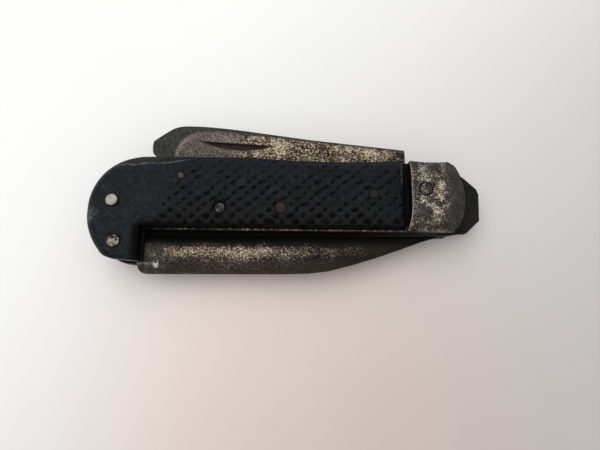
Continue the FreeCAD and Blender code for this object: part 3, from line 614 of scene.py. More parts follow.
class Coat:
    """A material made of nodes, with its colour so far and places in millimetres of the knife's frame."""

    def __init__(self, name, colour=(0, 0, 0)):
        self.colour = colour
        self.material = bpy.data.materials.new(name)
        self.material.use_nodes = True
        self.tree = self.material.node_tree
        self.surface = self.tree.nodes["Principled BSDF"]
        place = self.add("ShaderNodeTexCoord").outputs["Object"]
        scale = self.add("ShaderNodeVectorMath", place, operation="SCALE")
        scale.inputs["Scale"].default_value = 1 / MM
        self.place = scale.outputs[0]
        split = self.add("ShaderNodeSeparateXYZ", self.place)
        self.x, self.y, self.z = split.outputs

    def add(self, kind, *entries, **settings):
        """A new node with some of its settings, and its first sockets set or linked."""
        node = self.tree.nodes.new(kind)
        for setting, value in settings.items():
            setattr(node, setting, value)
        for value, socket in zip(entries, node.inputs):
            self.join(value, socket)
        return node

    def join(self, value, socket):
        """Sets a socket to a number or colour, or links an output to it."""
        if isinstance(value, bpy.types.NodeSocket):
            self.tree.links.new(value, socket)
        elif isinstance(value, tuple) and len(value) == 3 and len(socket.default_value) == 4:
            socket.default_value = (*value, 1)
        else:
            socket.default_value = value

    def set(self, **sockets):
        """Sets or links sockets of the surface, named with underscores for spaces."""
        for name, value in sockets.items():
            self.join(value, self.surface.inputs[name.replace("_", " ")])

    def done(self, **sockets):
        """The material, with its colour and other sockets of the surface set."""
        self.set(Base_Color=self.colour, **sockets)
        return self.material

    def noise(self, grain, detail=4, roughness=0.6):
        """Uneven values from 0 to 1 with a grain in millimetres."""
        node = self.add("ShaderNodeTexNoise", self.place)
        for name, value in (("Scale", 1 / grain), ("Detail", detail), ("Roughness", roughness)):
            node.inputs[name].default_value = value
        return node.outputs[0]

    def field(self, name):
        """A value that the mesh holds at each point."""
        return self.add("ShaderNodeAttribute", attribute_name=name).outputs["Fac"]

    def sum(self, operation, first, second=0.0):
        """One sum of two values."""
        return self.add("ShaderNodeMath", first, second, operation=operation).outputs[0]

    def plus(self, *values):
        """All of some values added."""
        return reduce(lambda first, second: self.sum("ADD", first, second), values)

    def times(self, *values):
        """The product of some values."""
        return reduce(lambda first, second: self.sum("MULTIPLY", first, second), values)

    def most(self, *values):
        """The largest of some values."""
        return reduce(lambda first, second: self.sum("MAXIMUM", first, second), values)

    def swing(self, value, reach=1.0):
        """A value from 0 to 1, moved to swing by half a reach to either side of zero."""
        return self.times(self.sum("SUBTRACT", value, 0.5), reach)

    def span(self, value, low, high, start=0.0, end=1.0):
        """A value carried from one range to another, softly, and held at its ends."""
        entries = (value, low, high, start, end)
        return self.add("ShaderNodeMapRange", *entries, interpolation_type="SMOOTHSTEP").outputs[0]

    def specks(self, grain, low, high, start=0.0, end=1.0, detail=4):
        """Uneven values with a grain in millimetres, carried from one range to another."""
        return self.span(self.noise(grain, detail), low, high, start, end)

    def ramp(self, value, stops):
        """A colour or grey for each value, from pairs of a position and a colour."""
        node = self.add("ShaderNodeValToRGB", value)
        elements = node.color_ramp.elements
        while len(elements) < len(stops):
            elements.new(1)
        for element, (position, colour) in zip(elements, stops):
            element.position = position
            element.color = (*colour, 1) if isinstance(colour, tuple) else (colour, colour, colour, 1)
        return node.outputs[0]

    def tones(self, grain, *stops, detail=4):
        """Uneven tones with a grain in millimetres."""
        return self.ramp(self.noise(grain, detail), stops)

    def paint(self, tone, *shares, blend="MIX"):
        """Lays a tone over the colour so far, as much of it as the product of some shares."""
        node = self.add("ShaderNodeMix", self.times(*shares), data_type="RGBA", blend_type=blend)
        self.join(self.colour, node.inputs[6])
        self.join(tone, node.inputs[7])
        self.colour = node.outputs[2]

    def gap(self, across, up):
        """How far every point is from a place on the knife's face."""
        gaps = [self.sum("SUBTRACT", value, place) for value, place in ((self.x, across), (self.y, up))]
        return self.sum("SQRT", self.plus(*[self.times(gap, gap) for gap in gaps]))

    def near(self, across, up, reach):
        """1 at a place on the knife's face and 0 beyond a reach from it, with a ragged rim."""
        ragged = self.swing(self.noise(RAGGED_GRAIN), reach)
        return self.span(self.plus(self.gap(across, up), ragged), reach, reach * CORE_SHARE)

    def near_pin(self, node, right, above, reach):
        """1 beside the middle of a pin and 0 beyond a reach from there, with a ragged rim."""
        centre = centre_of(node)[0] / MM
        return self.near(centre.x + right, centre.y + above, reach)

    def line(self, value, middle, reach):
        """1 where a value is at its middle and 0 beyond a reach either way."""
        away = self.sum("ABSOLUTE", self.sum("SUBTRACT", value, middle))
        return self.span(away, reach, reach * CORE_SHARE)

    def bump(self, height, depth):
        """Raises the surface by a height of up to a depth in millimetres."""
        node = self.add("ShaderNodeBump")
        node.inputs["Strength"].default_value = 1
        node.inputs["Distance"].default_value = depth * MM
        self.join(height, node.inputs["Height"])
        if self.surface.inputs["Normal"].is_linked:
            self.join(self.surface.inputs["Normal"].links[0].from_socket, node.inputs["Normal"])
        self.join(node.outputs[0], self.surface.inputs["Normal"])


def scale_tones(coat, grain, cloud):
    """The scales' tones: painted shade darkest along the back, a painted bluish sky sheen towards the mouth,
    and a greyer, mottled ear lightened with painted sheen.
    """
    ear = coat.field("ear")
    # Painted shade along the back, which faces away from the light, and a painted bluish sheen of sky light
    # towards the mouth
    coat.paint((0.0055, 0.0053, 0.0051), coat.span(coat.y, *SCALE_BACK_SHADE_Y))
    coat.paint((0.005, 0.0067, 0.0098), coat.span(coat.y, *SCALE_SKY_SHEEN_Y))
    # The ear's greyer tone, partly its own colour and partly a painted sheen
    coat.paint((0.0088, 0.0122, 0.0146), ear, 0.9)
    coat.paint((0.0102, 0.0098, 0.0095), coat.span(cloud, 0.4, 0.75, 0, 0.4))
    for size, tint in SCALE_TINTS:
        coat.paint(tint, coat.specks(size, 0.48, 0.68, 0, 0.65))
    mottle = coat.noise(MOTTLE_GRAIN, detail=5, roughness=0.7)
    for end, tone in EAR_MOTTLES:
        coat.paint(tone, ear, coat.span(mottle, 0.5, end, 0, 0.7))
    # Pale ridges of the net along the back: partly wear and partly a painted highlight
    worn = coat.times(coat.field("net"), coat.span(grain, 0.3, 0.65, 0.35, 0.9))
    coat.paint((0.014, 0.014, 0.0135), worn)
    coat.paint((0.02, 0.021, 0.023), coat.span(grain, 0.5, 0.75, 0, 0.5))
    coat.paint((0.0022, 0.0023, 0.0025), coat.span(grain, 0.5, 0.28, 0, 0.6))


def scale_wear_and_pit_shade(coat, pit):
    """Pits blackened with painted shade, dust, the tail's brown bevel with its pale ridge, and chips on the
    ear's rim.
    """
    ridge = coat.field("ridge")
    # Painted shade: the pits are blackened by their depth, broken up by specks
    pit_shade = coat.times(pit, coat.specks(PIT_GRAIN, 0.32, 0.66, 0.4, 1.5))
    coat.paint((0.0008, 0.0008, 0.0008), coat.span(pit_shade, 0.12, 0.75, 0, 0.88))
    coat.paint((0.02, 0.017, 0.014), coat.specks(DUST_GRAIN, 0.64, 0.72, 0, 0.3, detail=5))
    brown = coat.times(coat.span(ridge, 1, 0.7), coat.span(coat.y, *BEVEL_BROWN_Y, 0, 0.7))
    coat.paint((0.013, 0.0105, 0.0085), brown)
    rubs = coat.specks(RIDGE_GRAIN, 0.38, 0.6, 0.15, 0.95, detail=6)
    coat.paint((0.1, 0.1, 0.09), coat.line(ridge, *RIDGE_LINE_SHARES), rubs)
    chips = coat.specks(CHIP_GRAIN, 0.44, 0.58, 0, 0.75, detail=5)
    coat.paint((0.095, 0.115, 0.12), coat.near(*EAR_CHIPS), chips)


def scale_shade_and_grime(coat):
    """Painted shade along the scales' edges and painted shadows round their pins, a pale streak at their
    end, and a stain and rust beside two pins.
    """
    # Painted shade along the mouth, down the ear's inner wall, over the rounded end and along the back edge
    mouth = coat.span(coat.field("mouth"), *MOUTH_SHADE_GAP)
    coat.paint((0.0042, 0.0032, 0.0026), mouth, coat.span(coat.x, *MOUTH_SHADE_X, 0, 0.85))
    wall = coat.span(coat.field("wall"), *WALL_SHADE_GAP, 0, 0.92)
    end = coat.span(coat.x, *END_SHADE_X, 0, 0.9)
    back = coat.span(coat.field("back"), *BACK_SHADE_GAP, 0, 0.93)
    coat.paint((0.0009, 0.0009, 0.0009), coat.most(wall, end, back))
    streak = coat.times(coat.line(coat.x, *END_STREAK_X), coat.span(coat.y, *END_STREAK_Y))
    streak = coat.times(streak, coat.specks(STREAK_GRAIN, 0.4, 0.62, 0, 0.7))
    coat.paint((0.085, 0.08, 0.075), streak)
    # Painted shadows beside the rivet heads and in the spring pin's recess
    for node, (right, above, reach) in SCALE_PIN_SHADOWS.items():
        centre = centre_of(node)[0] / MM
        gap = coat.gap(centre.x + right, centre.y + above)
        coat.paint((0.0007, 0.0006, 0.0006), coat.span(gap, reach, reach - SHADOW_RIM, 0, 0.94))
    stain = coat.near_pin("near_left_scale_pin", *PIN_STAIN)
    coat.paint((0.016, 0.0145, 0.0105), stain, 0.7)
    rust = coat.near_pin("left_spring_pin", *PIN_RUST)
    coat.paint((0.013, 0.0075, 0.0065), rust, 0.55)


def scale_plastic():
    """Blue-black plastic: painted shade in the pits and along the back and edges, a paler net at the back
    that is partly wear and partly painted highlight, a painted sheen at the mouth and on the smooth greyer
    ear, and a pale worn ridge.
    """
    coat = Coat("worn_black_plastic", (0.0024, 0.0022, 0.0021))
    pit = coat.field("pit")
    cloud = coat.noise(CLOUD_GRAIN, detail=3)
    grain = coat.noise(FINE_GRAIN, detail=3, roughness=0.7)
    scale_tones(coat, grain, cloud)
    scale_wear_and_pit_shade(coat, pit)
    scale_shade_and_grime(coat)
    coat.bump(grain, FINE_DEPTH)
    coat.bump(coat.noise(SWELL_GRAIN, detail=2), SWELL_DEPTH)
    rough = coat.span(coat.plus(cloud, pit), 0.3, 1.5, 0.42, 0.75)
    return coat.done(Roughness=rough, Specular_IOR_Level=0.06)


def pitted(coat, level, stops, rough, metal, depth):
    """Speckled steel: dark oxide where a level is low and bare metal where it is high."""
    low, high = stops[0][0], stops[-1][0]
    coat.set(Roughness=coat.span(level, low, high, *rough))
    coat.set(Metallic=coat.span(level, low, high, *metal), Specular_IOR_Level=0.15)
    coat.bump(level, depth)
    coat.colour = coat.ramp(level, stops)


def speckle(coat, grain, coarse, spread):
    """Fine specks whose cover changes over coarse patches."""
    fine = coat.noise(grain, detail=3, roughness=0.75)
    return coat.plus(fine, coat.swing(coat.noise(coarse, detail=3), spread))


def blade_steel():
    """Pitted steel: a golden tan bloom on the flat, smoother near the point, and charcoal on the swedge."""
    coat = Coat("pitted_blade_steel")
    along = coat.ramp(coat.span(coat.x, *BLADE_X), BLADE_ALONG_SHARES)
    edge = coat.span(coat.y, *BLADE_MOUTH_Y, 0, -0.05)
    level = coat.plus(speckle(coat, *BLADE_SPECKS), coat.swing(along), edge)
    stops = ((0.38, (0.008, 0.006, 0.005)), (0.45, (0.055, 0.04, 0.028)), (0.53, (0.25, 0.19, 0.13)),
             (0.66, (0.5, 0.41, 0.3)))
    pitted(coat, level, stops, (0.72, 0.5), (0.3, 0.8), SPECK_DEPTH)
    grey = coat.tones(FINE_GRAIN, (0.32, (0.03, 0.025, 0.021)), (0.5, (0.105, 0.09, 0.077)),
                      (0.68, (0.27, 0.235, 0.195)))
    coat.paint(grey, coat.span(coat.x, *BLADE_GREY_X, 0, 0.8))
    ragged = coat.swing(coat.noise(SWEDGE_GRAIN, detail=5), 1.7)
    charcoal = coat.tones(CHARCOAL_GRAIN, (0.3, (0.013, 0.014, 0.0125)), (0.7, (0.055, 0.056, 0.05)),
                          detail=5)
    coat.paint(charcoal, coat.span(coat.plus(coat.field("swedge"), ragged), 0.25, 0.75, 0, 0.94))
    rub = coat.times(coat.field("rub"), coat.specks(RUB_GRAIN, 0.35, 0.55, 0.1, 0.9))
    coat.paint((0.5, 0.47, 0.42), rub)
    # Dark brown over the nail nick
    coat.paint((0.0175, 0.0118, 0.01), coat.field("nick"), 0.93)
    return coat.done()


def spike_steel():
    """Dark pitted steel with a painted highlight of bright tan specks along its crest, painted shade from
    the handle above, brown with painted shade below, and green at the tip.
    """
    coat = Coat("pitted_spike_steel")
    along = coat.ramp(coat.span(coat.x, *SPIKE_X), SPIKE_ALONG_SHARES)
    # Painted highlight: the specks are brightest along the spike's crest, which faces the light
    crest_light = coat.ramp(coat.span(coat.y, *SPIKE_CREST_LIGHT_Y), SPIKE_CREST_LIGHT_SHARES)
    level = coat.plus(speckle(coat, *SPIKE_SPECKS), coat.swing(along), coat.swing(crest_light))
    stops = ((0.38, (0.007, 0.0055, 0.0045)), (0.46, (0.034, 0.026, 0.02)), (0.55, (0.15, 0.115, 0.08)),
             (0.7, (0.5, 0.42, 0.32)))
    pitted(coat, level, stops, (0.72, 0.5), (0.3, 0.8), SPECK_DEPTH)
    # The lower side is brown and darker: partly the steel's brown oxide, partly painted shade where it faces
    # away from the light
    brown = coat.tones(FINE_GRAIN, (0.3, (0.014, 0.0095, 0.0085)), (0.7, (0.062, 0.046, 0.04)))
    coat.paint(brown, coat.span(coat.y, *SPIKE_BROWN_SHADE_Y, 0, 0.75))
    grey = coat.tones(ROOT_GRAIN, (0.38, (0.02, 0.019, 0.0145)), (0.58, (0.055, 0.05, 0.039)),
                      (0.75, (0.26, 0.24, 0.2)), detail=5)
    ragged = coat.plus(coat.x, coat.noise(ROOT_RAGGED_GRAIN))
    coat.paint(grey, coat.span(ragged, *SPIKE_ROOT_X, 0, 0.85))
    line = coat.times(coat.line(coat.y, *ROOT_LINE_Y), coat.span(coat.x, *ROOT_LINE_X))
    coat.paint((0.42, 0.39, 0.33), line, coat.specks(ROOT_LINE_GRAIN, 0.4, 0.62, 0, 0.7))
    chips = coat.specks(CHIP_GRAIN, 0.42, 0.56, 0, 0.9, detail=5)
    coat.paint((0.6, 0.56, 0.49), coat.near(*SPIKE_CHIP), chips)
    coat.paint((0.014, 0.0125, 0.0085), coat.span(coat.x, *SPIKE_GREEN_X, 0, 0.7))
    # Painted shade: the handle's shadow over the spike's upper edge
    coat.paint((0.0022, 0.0018, 0.0014), coat.span(coat.y, *SPIKE_SHADE_Y, 0, 0.96))
    return coat.done()


def bolster_steel():
    """Silver-white mottled steel with purple-brown stains, a smooth grey nose and a bright rubbed end."""
    coat = Coat("mottled_bolster_steel")
    stain = coat.most(*[coat.near(*place) for place in BOLSTER_STAINS])
    rubs = [coat.times(coat.near(*place), 0.08) for place in BOLSTER_RUBS]
    level = coat.plus(speckle(coat, *BOLSTER_SPECKS), *rubs, coat.times(stain, -0.06))
    stops = ((0.35, (0.0065, 0.005, 0.005)), (0.46, (0.034, 0.0275, 0.025)), (0.57, (0.125, 0.102, 0.08)),
             (0.69, (0.6, 0.505, 0.375)))
    pitted(coat, level, stops, (0.66, 0.42), (0.4, 0.85), SPECK_DEPTH)
    purple = coat.tones(STAIN_GRAIN, (0.3, (0.024, 0.018, 0.02)), (0.7, (0.085, 0.068, 0.068)))
    coat.paint(purple, stain, 0.6)
    nose = coat.span(coat.plus(coat.x, coat.noise(NOSE_RAGGED_GRAIN)), *NOSE_GREY_X, 0, 0.85)
    grey = coat.tones(NOSE_GRAIN, (0.3, (0.013, 0.0135, 0.0125)), (0.7, (0.052, 0.053, 0.048)), detail=5)
    coat.paint(grey, nose, coat.span(stain, 0, 1, 1, 0.45))
    centre = centre_of("blade_pivot_pin")[0] / MM
    ring = coat.line(coat.gap(centre.x, centre.y), *PIN_RING_GAP)
    coat.paint((0.008, 0.006, 0.006), ring, coat.specks(PIN_RING_GRAIN, 0.4, 0.55, 0.2, 0.9))
    end = coat.span(coat.field("end"), 0.45, 0.9)
    coat.paint((0.4, 0.37, 0.32), end, coat.specks(END_GRAIN, 0.3, 0.6, 0.25, 0.85))
    # Painted shade: the bolster's walls in the groove beside the scale's end, and its low back edge under
    # the handle, are blackened
    groove_shade = coat.times(coat.span(coat.field("foot"), 0.03, 0.16), coat.span(coat.x, *GROOVE_X, 0, 0.97))
    under_shade = coat.times(coat.span(coat.z, *UNDER_Z), coat.span(coat.y, *UNDER_Y, 0, 0.9))
    coat.paint((0.002, 0.0018, 0.0016), coat.most(groove_shade, under_shade))
    return coat.done()


def spring_steel():
    """Charcoal steel, a little brown, with a few paler rubs and painted shade inside the handle."""
    coat = Coat("dark_spring_steel")
    stops = ((0.32, (0.003, 0.0027, 0.0025)), (0.5, (0.0088, 0.008, 0.0075)), (0.68, (0.024, 0.022, 0.0205)),
             (0.85, (0.06, 0.055, 0.05)))
    pitted(coat, speckle(coat, *SPRING_SPECKS), stops, (0.75, 0.55), (0.1, 0.4), FAINT_DEPTH)
    # Painted shade on the springs' back edges deep inside the handle
    dim_and_shade = coat.times(coat.span(coat.y, *SPRING_SHADE_Y), coat.span(coat.x, *SPRING_SHADE_X, 0, 0.96))
    coat.paint((0.0012, 0.001, 0.0009), dim_and_shade)
    return coat.done()


def liner_steel():
    """Dark plate steel with tan worn specks along the back edge, dimmer towards the tail, with painted shade
    inside the handle.
    """
    coat = Coat("worn_liner_steel")
    stops = ((0.34, (0.012, 0.009, 0.007)), (0.48, (0.05, 0.04, 0.03)), (0.6, (0.2, 0.16, 0.12)),
             (0.75, (0.42, 0.36, 0.29)))
    pitted(coat, speckle(coat, *LINER_SPECKS), stops, (0.7, 0.4), (0.3, 0.9), FAINT_DEPTH)
    # Dimmer towards the tail, and painted shade inside the handle: away from the back edge, deep down and at
    # the root
    dim = coat.span(coat.x, *LINER_DIM_X, 0, 0.7)
    spans = ((coat.y, LINER_INNER_Y), (coat.x, LINER_ROOT_X), (coat.z, LINER_DEEP_Z))
    dim_and_shade = coat.most(dim, *[coat.span(value, *places) for value, places in spans])
    coat.paint((0.0014, 0.0012, 0.001), dim_and_shade, 0.98)
    return coat.done()


def rivet_steel(name, spots):
    """Bright worn rivet steel, with a share of brown spots."""
    coat = Coat(name)
    stops = ((0.2 + spots, (0.03, 0.02, 0.014)), (0.28 + spots, (0.13, 0.1, 0.075)),
             (0.36 + spots, (0.33, 0.3, 0.25)), (0.8, (0.45, 0.415, 0.35)))
    pitted(coat, speckle(coat, *RIVET_SPECKS), stops, (0.65, 0.5), (0.2, 0.5), FAINT_DEPTH)
    return coat.done()


def tarnished(name, node, tones, metal, rim_share, wear):
    """Dull metal of a pin in three tones, with painted shade outside a share of its radius and a pale ring
    inside.
    """
    coat = Coat(name)
    stops = tuple(zip(PIN_LEVEL_SHARES, tones))
    pitted(coat, speckle(coat, *PIN_SPECKS), stops, (0.7, 0.5), (metal, 0.8), FAINT_DEPTH)
    centre, radius = centre_of(node)
    share = coat.sum("DIVIDE", coat.gap(centre.x / MM, centre.y / MM), radius / MM)
    inner, reach = PIN_WEAR_SHARES
    worn = coat.line(share, rim_share - inner, reach)
    coat.paint(tones[2], worn, coat.specks(PIN_WEAR_GRAIN, 0.4, 0.6, 0, wear))
    # Painted shade round the pin's rim, as from the wall of its hole
    coat.paint((0.0015, 0.0012, 0.0011), coat.span(share, rim_share, rim_share + PIN_SHADE_RIM_SHARE, 0, 0.93))
    return coat.done()


def paper_floor():
    """A pale matt floor with painted light falloff, darker towards the lower right, and a little pink in
    front of the knife.
    """
    coat = Coat("pale_floor", (0.905, 0.905, 0.885))
    # Painted light falloff: the floor darkens from the upper left to the lower right
    coat.paint((0.495, 0.465, 0.445), coat.span(coat.sum("SUBTRACT", coat.x, coat.y), *FLOOR_LIGHT_FALLOFF))
    coat.paint((1, 0.885, 0.825), coat.span(coat.gap(*FLOOR_PINK_PLACE), *FLOOR_PINK_GAP), blend="MULTIPLY")
    coat.paint((0.8, 0.72, 0.69), coat.specks(FLOOR_CLOUD_GRAIN, 0.4, 0.7, 0, 0.05, detail=2))
    coat.bump(coat.noise(FLOOR_GRAIN, detail=2), FLOOR_DEPTH)
    return coat.done(Roughness=0.9, Specular_IOR_Level=0.1)


def drawn_in(kind, share):
    """A kind of edge with a share of its run and drop."""
    run, drop, power = kind
    share = max(share, LEAST_SHARE)
    return run * share, drop * share, power


def domed_kinds(loop):
    """The wide rounding along each side of a scale's outline: full on the handle and none on the ear."""
    kinds = []
    for x, y in loop:
        kind = drawn_in(DOME, smooth((x - DOME_START_X) / DOME_RAMP))
        if y < 0:
            kind = DOME if x > BACK_ROOT_X else BACK_ROOT
        if y < 0 and x < EAR_WALL_X + SEAT[0]:
            kind = NO_EDGE
        kinds.append(kind)
    return blended(kinds)


def tail_share(x):
    """How much of the bevel along the tail's upper edge there is at a place along the handle."""
    return np.interp(x, TAIL_X, TAIL_SHARES)


def edged_kinds(loop, end_x):
    """The narrow rounding along each side of a scale's outline: on the ear, the tail and the end."""
    kinds = []
    for x, y in loop:
        kind = NO_EDGE
        if x > end_x - 2 * SECTION_LIFT:
            kind = SCALE_END
        elif abs(x - EAR_WALL_X) < SEAT[0] and y < EAR_WALL_TOP_Y:
            kind = EAR_WALL
        elif y < EAR_FOOT_Y:
            kind = EAR_FOOT
        elif x < TAIL_X[1]:
            share = tail_share(x) if y > 0 else 0
            kind = np.array(TAIL_SIDE) * (1 - share) + np.array(TAIL) * share
        elif y > 0:
            kind = drawn_in(TAIL, tail_share(x))
        kinds.append(kind)
    return blended(kinds)


def edge_gap(points, outline, side):
    """How far each point right of the ear lies from its back edge (side 1) or its mouth (side -1)."""
    facing = inward(outline)[:, 1] * side > BACK_SIDE_SHARE
    edge = outline[facing & (outline[:, 0] > EAR_WALL_X)]
    edge = edge[edge[:, 0].argsort()]
    gap = (points[:, 1] - np.interp(points[:, 0], *edge.T)) * side
    return np.where(points[:, 0] > EAR_WALL_X, gap, DOME[0])


def ridge_share(points, outline):
    """How far each point lies from the tail's upper edge, as a share of the bevel there."""
    tail = outline[(outline[:, 0] < TAIL_X[-1]) & (outline[:, 1] > RIDGE_LOW_Y)]
    gaps = np.array([np.hypot(*(points - place).T) for place in tail])
    runs = TAIL[0] * np.maximum(tail_share(tail[:, 0]), LEAST_SHARE)
    return gaps.min(axis=0) / runs[gaps.argmin(axis=0)]


def worn_share(points):
    """How far the crown of a scale is rubbed down: 0 along its back edge and 1 over the rest."""
    return smooth((points[:, 1] - WEAR_START_Y) / WEAR_FADE)


def chequer_steps():
    """The two steps from one pit of the chequering to the next."""
    side = CHEQUER_PITCH / math.sin(2 * CHEQUER_ANGLE)
    first = np.array([side * math.cos(CHEQUER_ANGLE), side * math.sin(CHEQUER_ANGLE)])
    return first, first * (1, -1)


def chequer_pits(points):
    """How far each point lies down a pit, from 0 to 1: round at the back and short strokes on the crown."""
    wear = worn_share(points)
    starts = np.array(CHEQUER_START_SHARES)[:, None]
    places = np.linalg.solve(np.column_stack(chequer_steps()), points.T) - starts
    places += PIT_SHIFT_SHARE * ripple(points, PIT_SHIFT_GRAIN, PIT_SHIFT_SHARE)
    cells = np.round(places)
    along, across = np.cos(np.pi * (places - cells)) ** 2
    length = between(PIT_LENGTH_SHARPNESS, wear)
    width = between(PIT_WIDTH_SHARPNESS, wear)
    uneven = 1 + PIT_SPREAD_SHARE * ripple(cells.T, PIT_SPREAD_GRAIN, PIT_SPREAD_SHARE)
    faint = 1 - MOUTH_FADE_SHARE * smooth((points[:, 1] - MOUTH_FADE_START_Y) / MOUTH_FADE)
    return np.clip(along ** length * across ** width * uneven * faint, 0, 1)


def chequer_field(points, back_y, mouth_y):
    """Where the chequering is: it fades in from a slanting line beside the ear."""
    up = np.clip((points[:, 1] - back_y) / (mouth_y - back_y), 0, 1)
    return smooth((points[:, 0] - between(FIELD_START_X, up)) / FIELD_FADE)


def make_scales(material):
    """Both scales: domed, chequered plates with a smooth ear at the tail."""
    low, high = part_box("near_scale")
    first, second = (step / CHEQUER_STEPS for step in chequer_steps())
    plan = Plan("near_scale", low.z + SECTION_LIFT, lattice(low, high, first, second), np.hypot(*first))
    outline, holes = plan.loops[0], plan.loops[1:]
    points = plan.points
    ramp_start = EAR_WALL_X + EAR_RAMP
    top = high.z - EAR_DROP * smooth((ramp_start - points[:, 0]) / EAR_RAMP)
    edges = (domed_kinds(outline), edged_kinds(outline, high.x))
    top -= np.maximum(*[rounding(points, outline, kinds) for kinds in edges])
    for hole in holes:
        top -= rounding(points, hole, [SEAT] * len(hole))
    field = chequer_field(points, -DOME[0] * 2, high.y)
    wear = worn_share(points)
    pits = field * chequer_pits(points)
    top -= pits * between(PIT_DEPTHS, wear)
    wall = np.array([(EAR_WALL_X, low.y), (EAR_WALL_X, EAR_WALL_TOP_Y)])
    fields = {
        "pit": pits,
        "net": (field - pits) * (1 - wear),
        "ear": 1 - field,
        "ridge": ridge_share(points, outline),
        "wall": gap_to(points, wall, closed=False) / MM,
        "back": edge_gap(points, outline, 1) / MM,
        "mouth": edge_gap(points, outline, -1) / MM,
    }
    add_pair("scale", "chequered", plan.block(top, low.z), material, "scale_plastic", fields)


def bolster_kinds(loop):
    """The kind of rounding along each side of a bolster's outline."""
    kinds = []
    for (_, y), (across, _) in zip(loop, inward(loop)):
        kind = BOLSTER_MOUTH if y > 0 else BOLSTER_BACK
        if across > END_SIDE_SHARE:
            kind = BOLSTER_END
        elif across < NOSE_SIDE_SHARE:
            kind = NOSE
        kinds.append(kind)
    return kinds


def make_bolsters(material):
    """Both bolsters: domed steel blocks with a bevelled nose, worn uneven."""
    low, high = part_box("near_bolster")
    grid = square_lattice(low, high, BOLSTER_SPACING)
    plan = Plan("near_bolster", low.z + SECTION_LIFT, grid, BOLSTER_SPACING)
    outline, hole = plan.loops[0], plan.loops[1]
    top = high.z - rounding(plan.points, outline, bolster_kinds(outline))
    top -= rounding(plan.points, hole, [PIN_RING] * len(hole))
    top -= BOLSTER_DENT * np.clip(ripple(plan.points, BOLSTER_DENT_GRAIN, BOLSTER_DENT_SEED), 0, 1)
    mesh = plan.block(top, low.z)
    end = outline[inward(outline)[:, 0] > END_SIDE_SHARE]
    fields = {
        "end": np.clip(1 - nearest_gap(plan.points, end) / END_LINE, 0, 1),
        "foot": np.arange(len(mesh[0])) >= len(plan.points),
    }
    add_pair("bolster", "worn", mesh, material, "bolster_steel", fields)


def nick_depth(points):
    """How deep the nail nick is at each point, from 0 to 1: a crescent, steep towards the blade's back."""
    start, end = np.array(NICK_START), np.array(NICK_END)
    run = end - start
    length = np.hypot(*run)
    along = (points - start) @ run / length ** 2
    below = (points - start) @ np.array([run[1], -run[0]]) / length
    width = NICK_SAG * np.clip(1 - (2 * along - 1) ** 2, 0, None)
    share = np.clip(below / np.maximum(width, SECTION_LIFT), 0, 1)
    inner = (along > 0) & (along < 1) & (below > 0) & (below < width)
    steep = np.minimum(share / NICK_STEEP_SHARE, (1 - share) / (1 - NICK_STEEP_SHARE))
    return np.where(inner, steep * np.minimum(1, width / NICK_SAG * NICK_END_SHARE), 0)


def make_blade(material):
    """The blade: pitted flats, a thin swedge along the back and the point, a nail nick and a ground edge."""
    low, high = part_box("main_blade")
    middle = (low.z + high.z) / 2
    grid = square_lattice(low, high, BLADE_SPACING)
    nick_low = (NICK_START[0], NICK_END[1] - NICK_SAG)
    nick_grid = square_lattice(nick_low, (NICK_END[0], NICK_START[1]), NICK_SPACING)
    in_nick = nick_depth(grid) > 0
    grid = np.vstack([grid[~in_nick], nick_grid[nick_depth(nick_grid) > 0]])
    plan = Plan("main_blade", middle, grid, BLADE_SPACING)
    outline = plan.loops[0]
    points = plan.points
    half = middle - plan.cast("main_blade", upward=True)
    half = np.where(np.isnan(half), high.z - middle, half)
    spine = outline[-inward(outline) @ np.array(SPINE_SIDE) > SPINE_SIDE_SHARE]
    gap = nearest_gap(points, spine)
    along = (points[:, 0] - low.x) / (high.x - low.x)
    places, widths = np.array(SWEDGE_SHARES).T
    width = np.interp(along, places, widths) * (high.y - low.y)
    tip = smooth((SWEDGE_TIP_SHARES[0] - along) / (SWEDGE_TIP_SHARES[0] - SWEDGE_TIP_SHARES[1]))
    half = half - between(SWEDGE_DROPS, tip) * np.clip(1 - gap / width, 0, 1)
    half -= rounding(points, outline, [BLADE_EDGE] * len(outline))
    half = np.maximum(half, BLADE_EDGE[1])
    nick = nick_depth(points)
    corners, faces = plan.solid(middle + half - NICK_DEPTH * nick, middle - half)
    swedge = smooth((1 - gap / width) / between(SWEDGE_SOFT_SHARES, tip))
    rub_middle, rub_reach = RUB_LINE_SHARES
    rub = tip * np.clip(1 - np.abs(gap / width - rub_middle) / rub_reach, 0, 1)
    fields = {"swedge": np.tile(swedge, 2), "rub": np.tile(rub, 2)}
    fields["nick"] = np.concatenate([np.clip(nick * NICK_DARK_SHARE, 0, 1), np.zeros(len(nick))])
    add_piece("main_blade_pitted", corners, faces, "blade", material, "blade_steel", ["main_blade"], fields)


def crossing(loop, x):
    """The lowest and highest places where a line across a piece meets its outline."""
    after = np.roll(loop, -1, axis=0)
    meets = (loop[:, 0] > x) != (after[:, 0] > x)
    start, end = loop[meets], after[meets]
    share = (x - start[:, 0]) / (end[:, 0] - start[:, 0])
    heights = start[:, 1] + share * (end[:, 1] - start[:, 1])
    return heights.min(), heights.max()


def soft_limit(values, limit):
    """Values drawn in softly so that none passes a limit either way."""
    sizes = np.abs(values) / FLAT_SOFTNESS
    return np.sign(values) * -FLAT_SOFTNESS * np.logaddexp(-sizes, -limit / FLAT_SOFTNESS) * (sizes > 0)


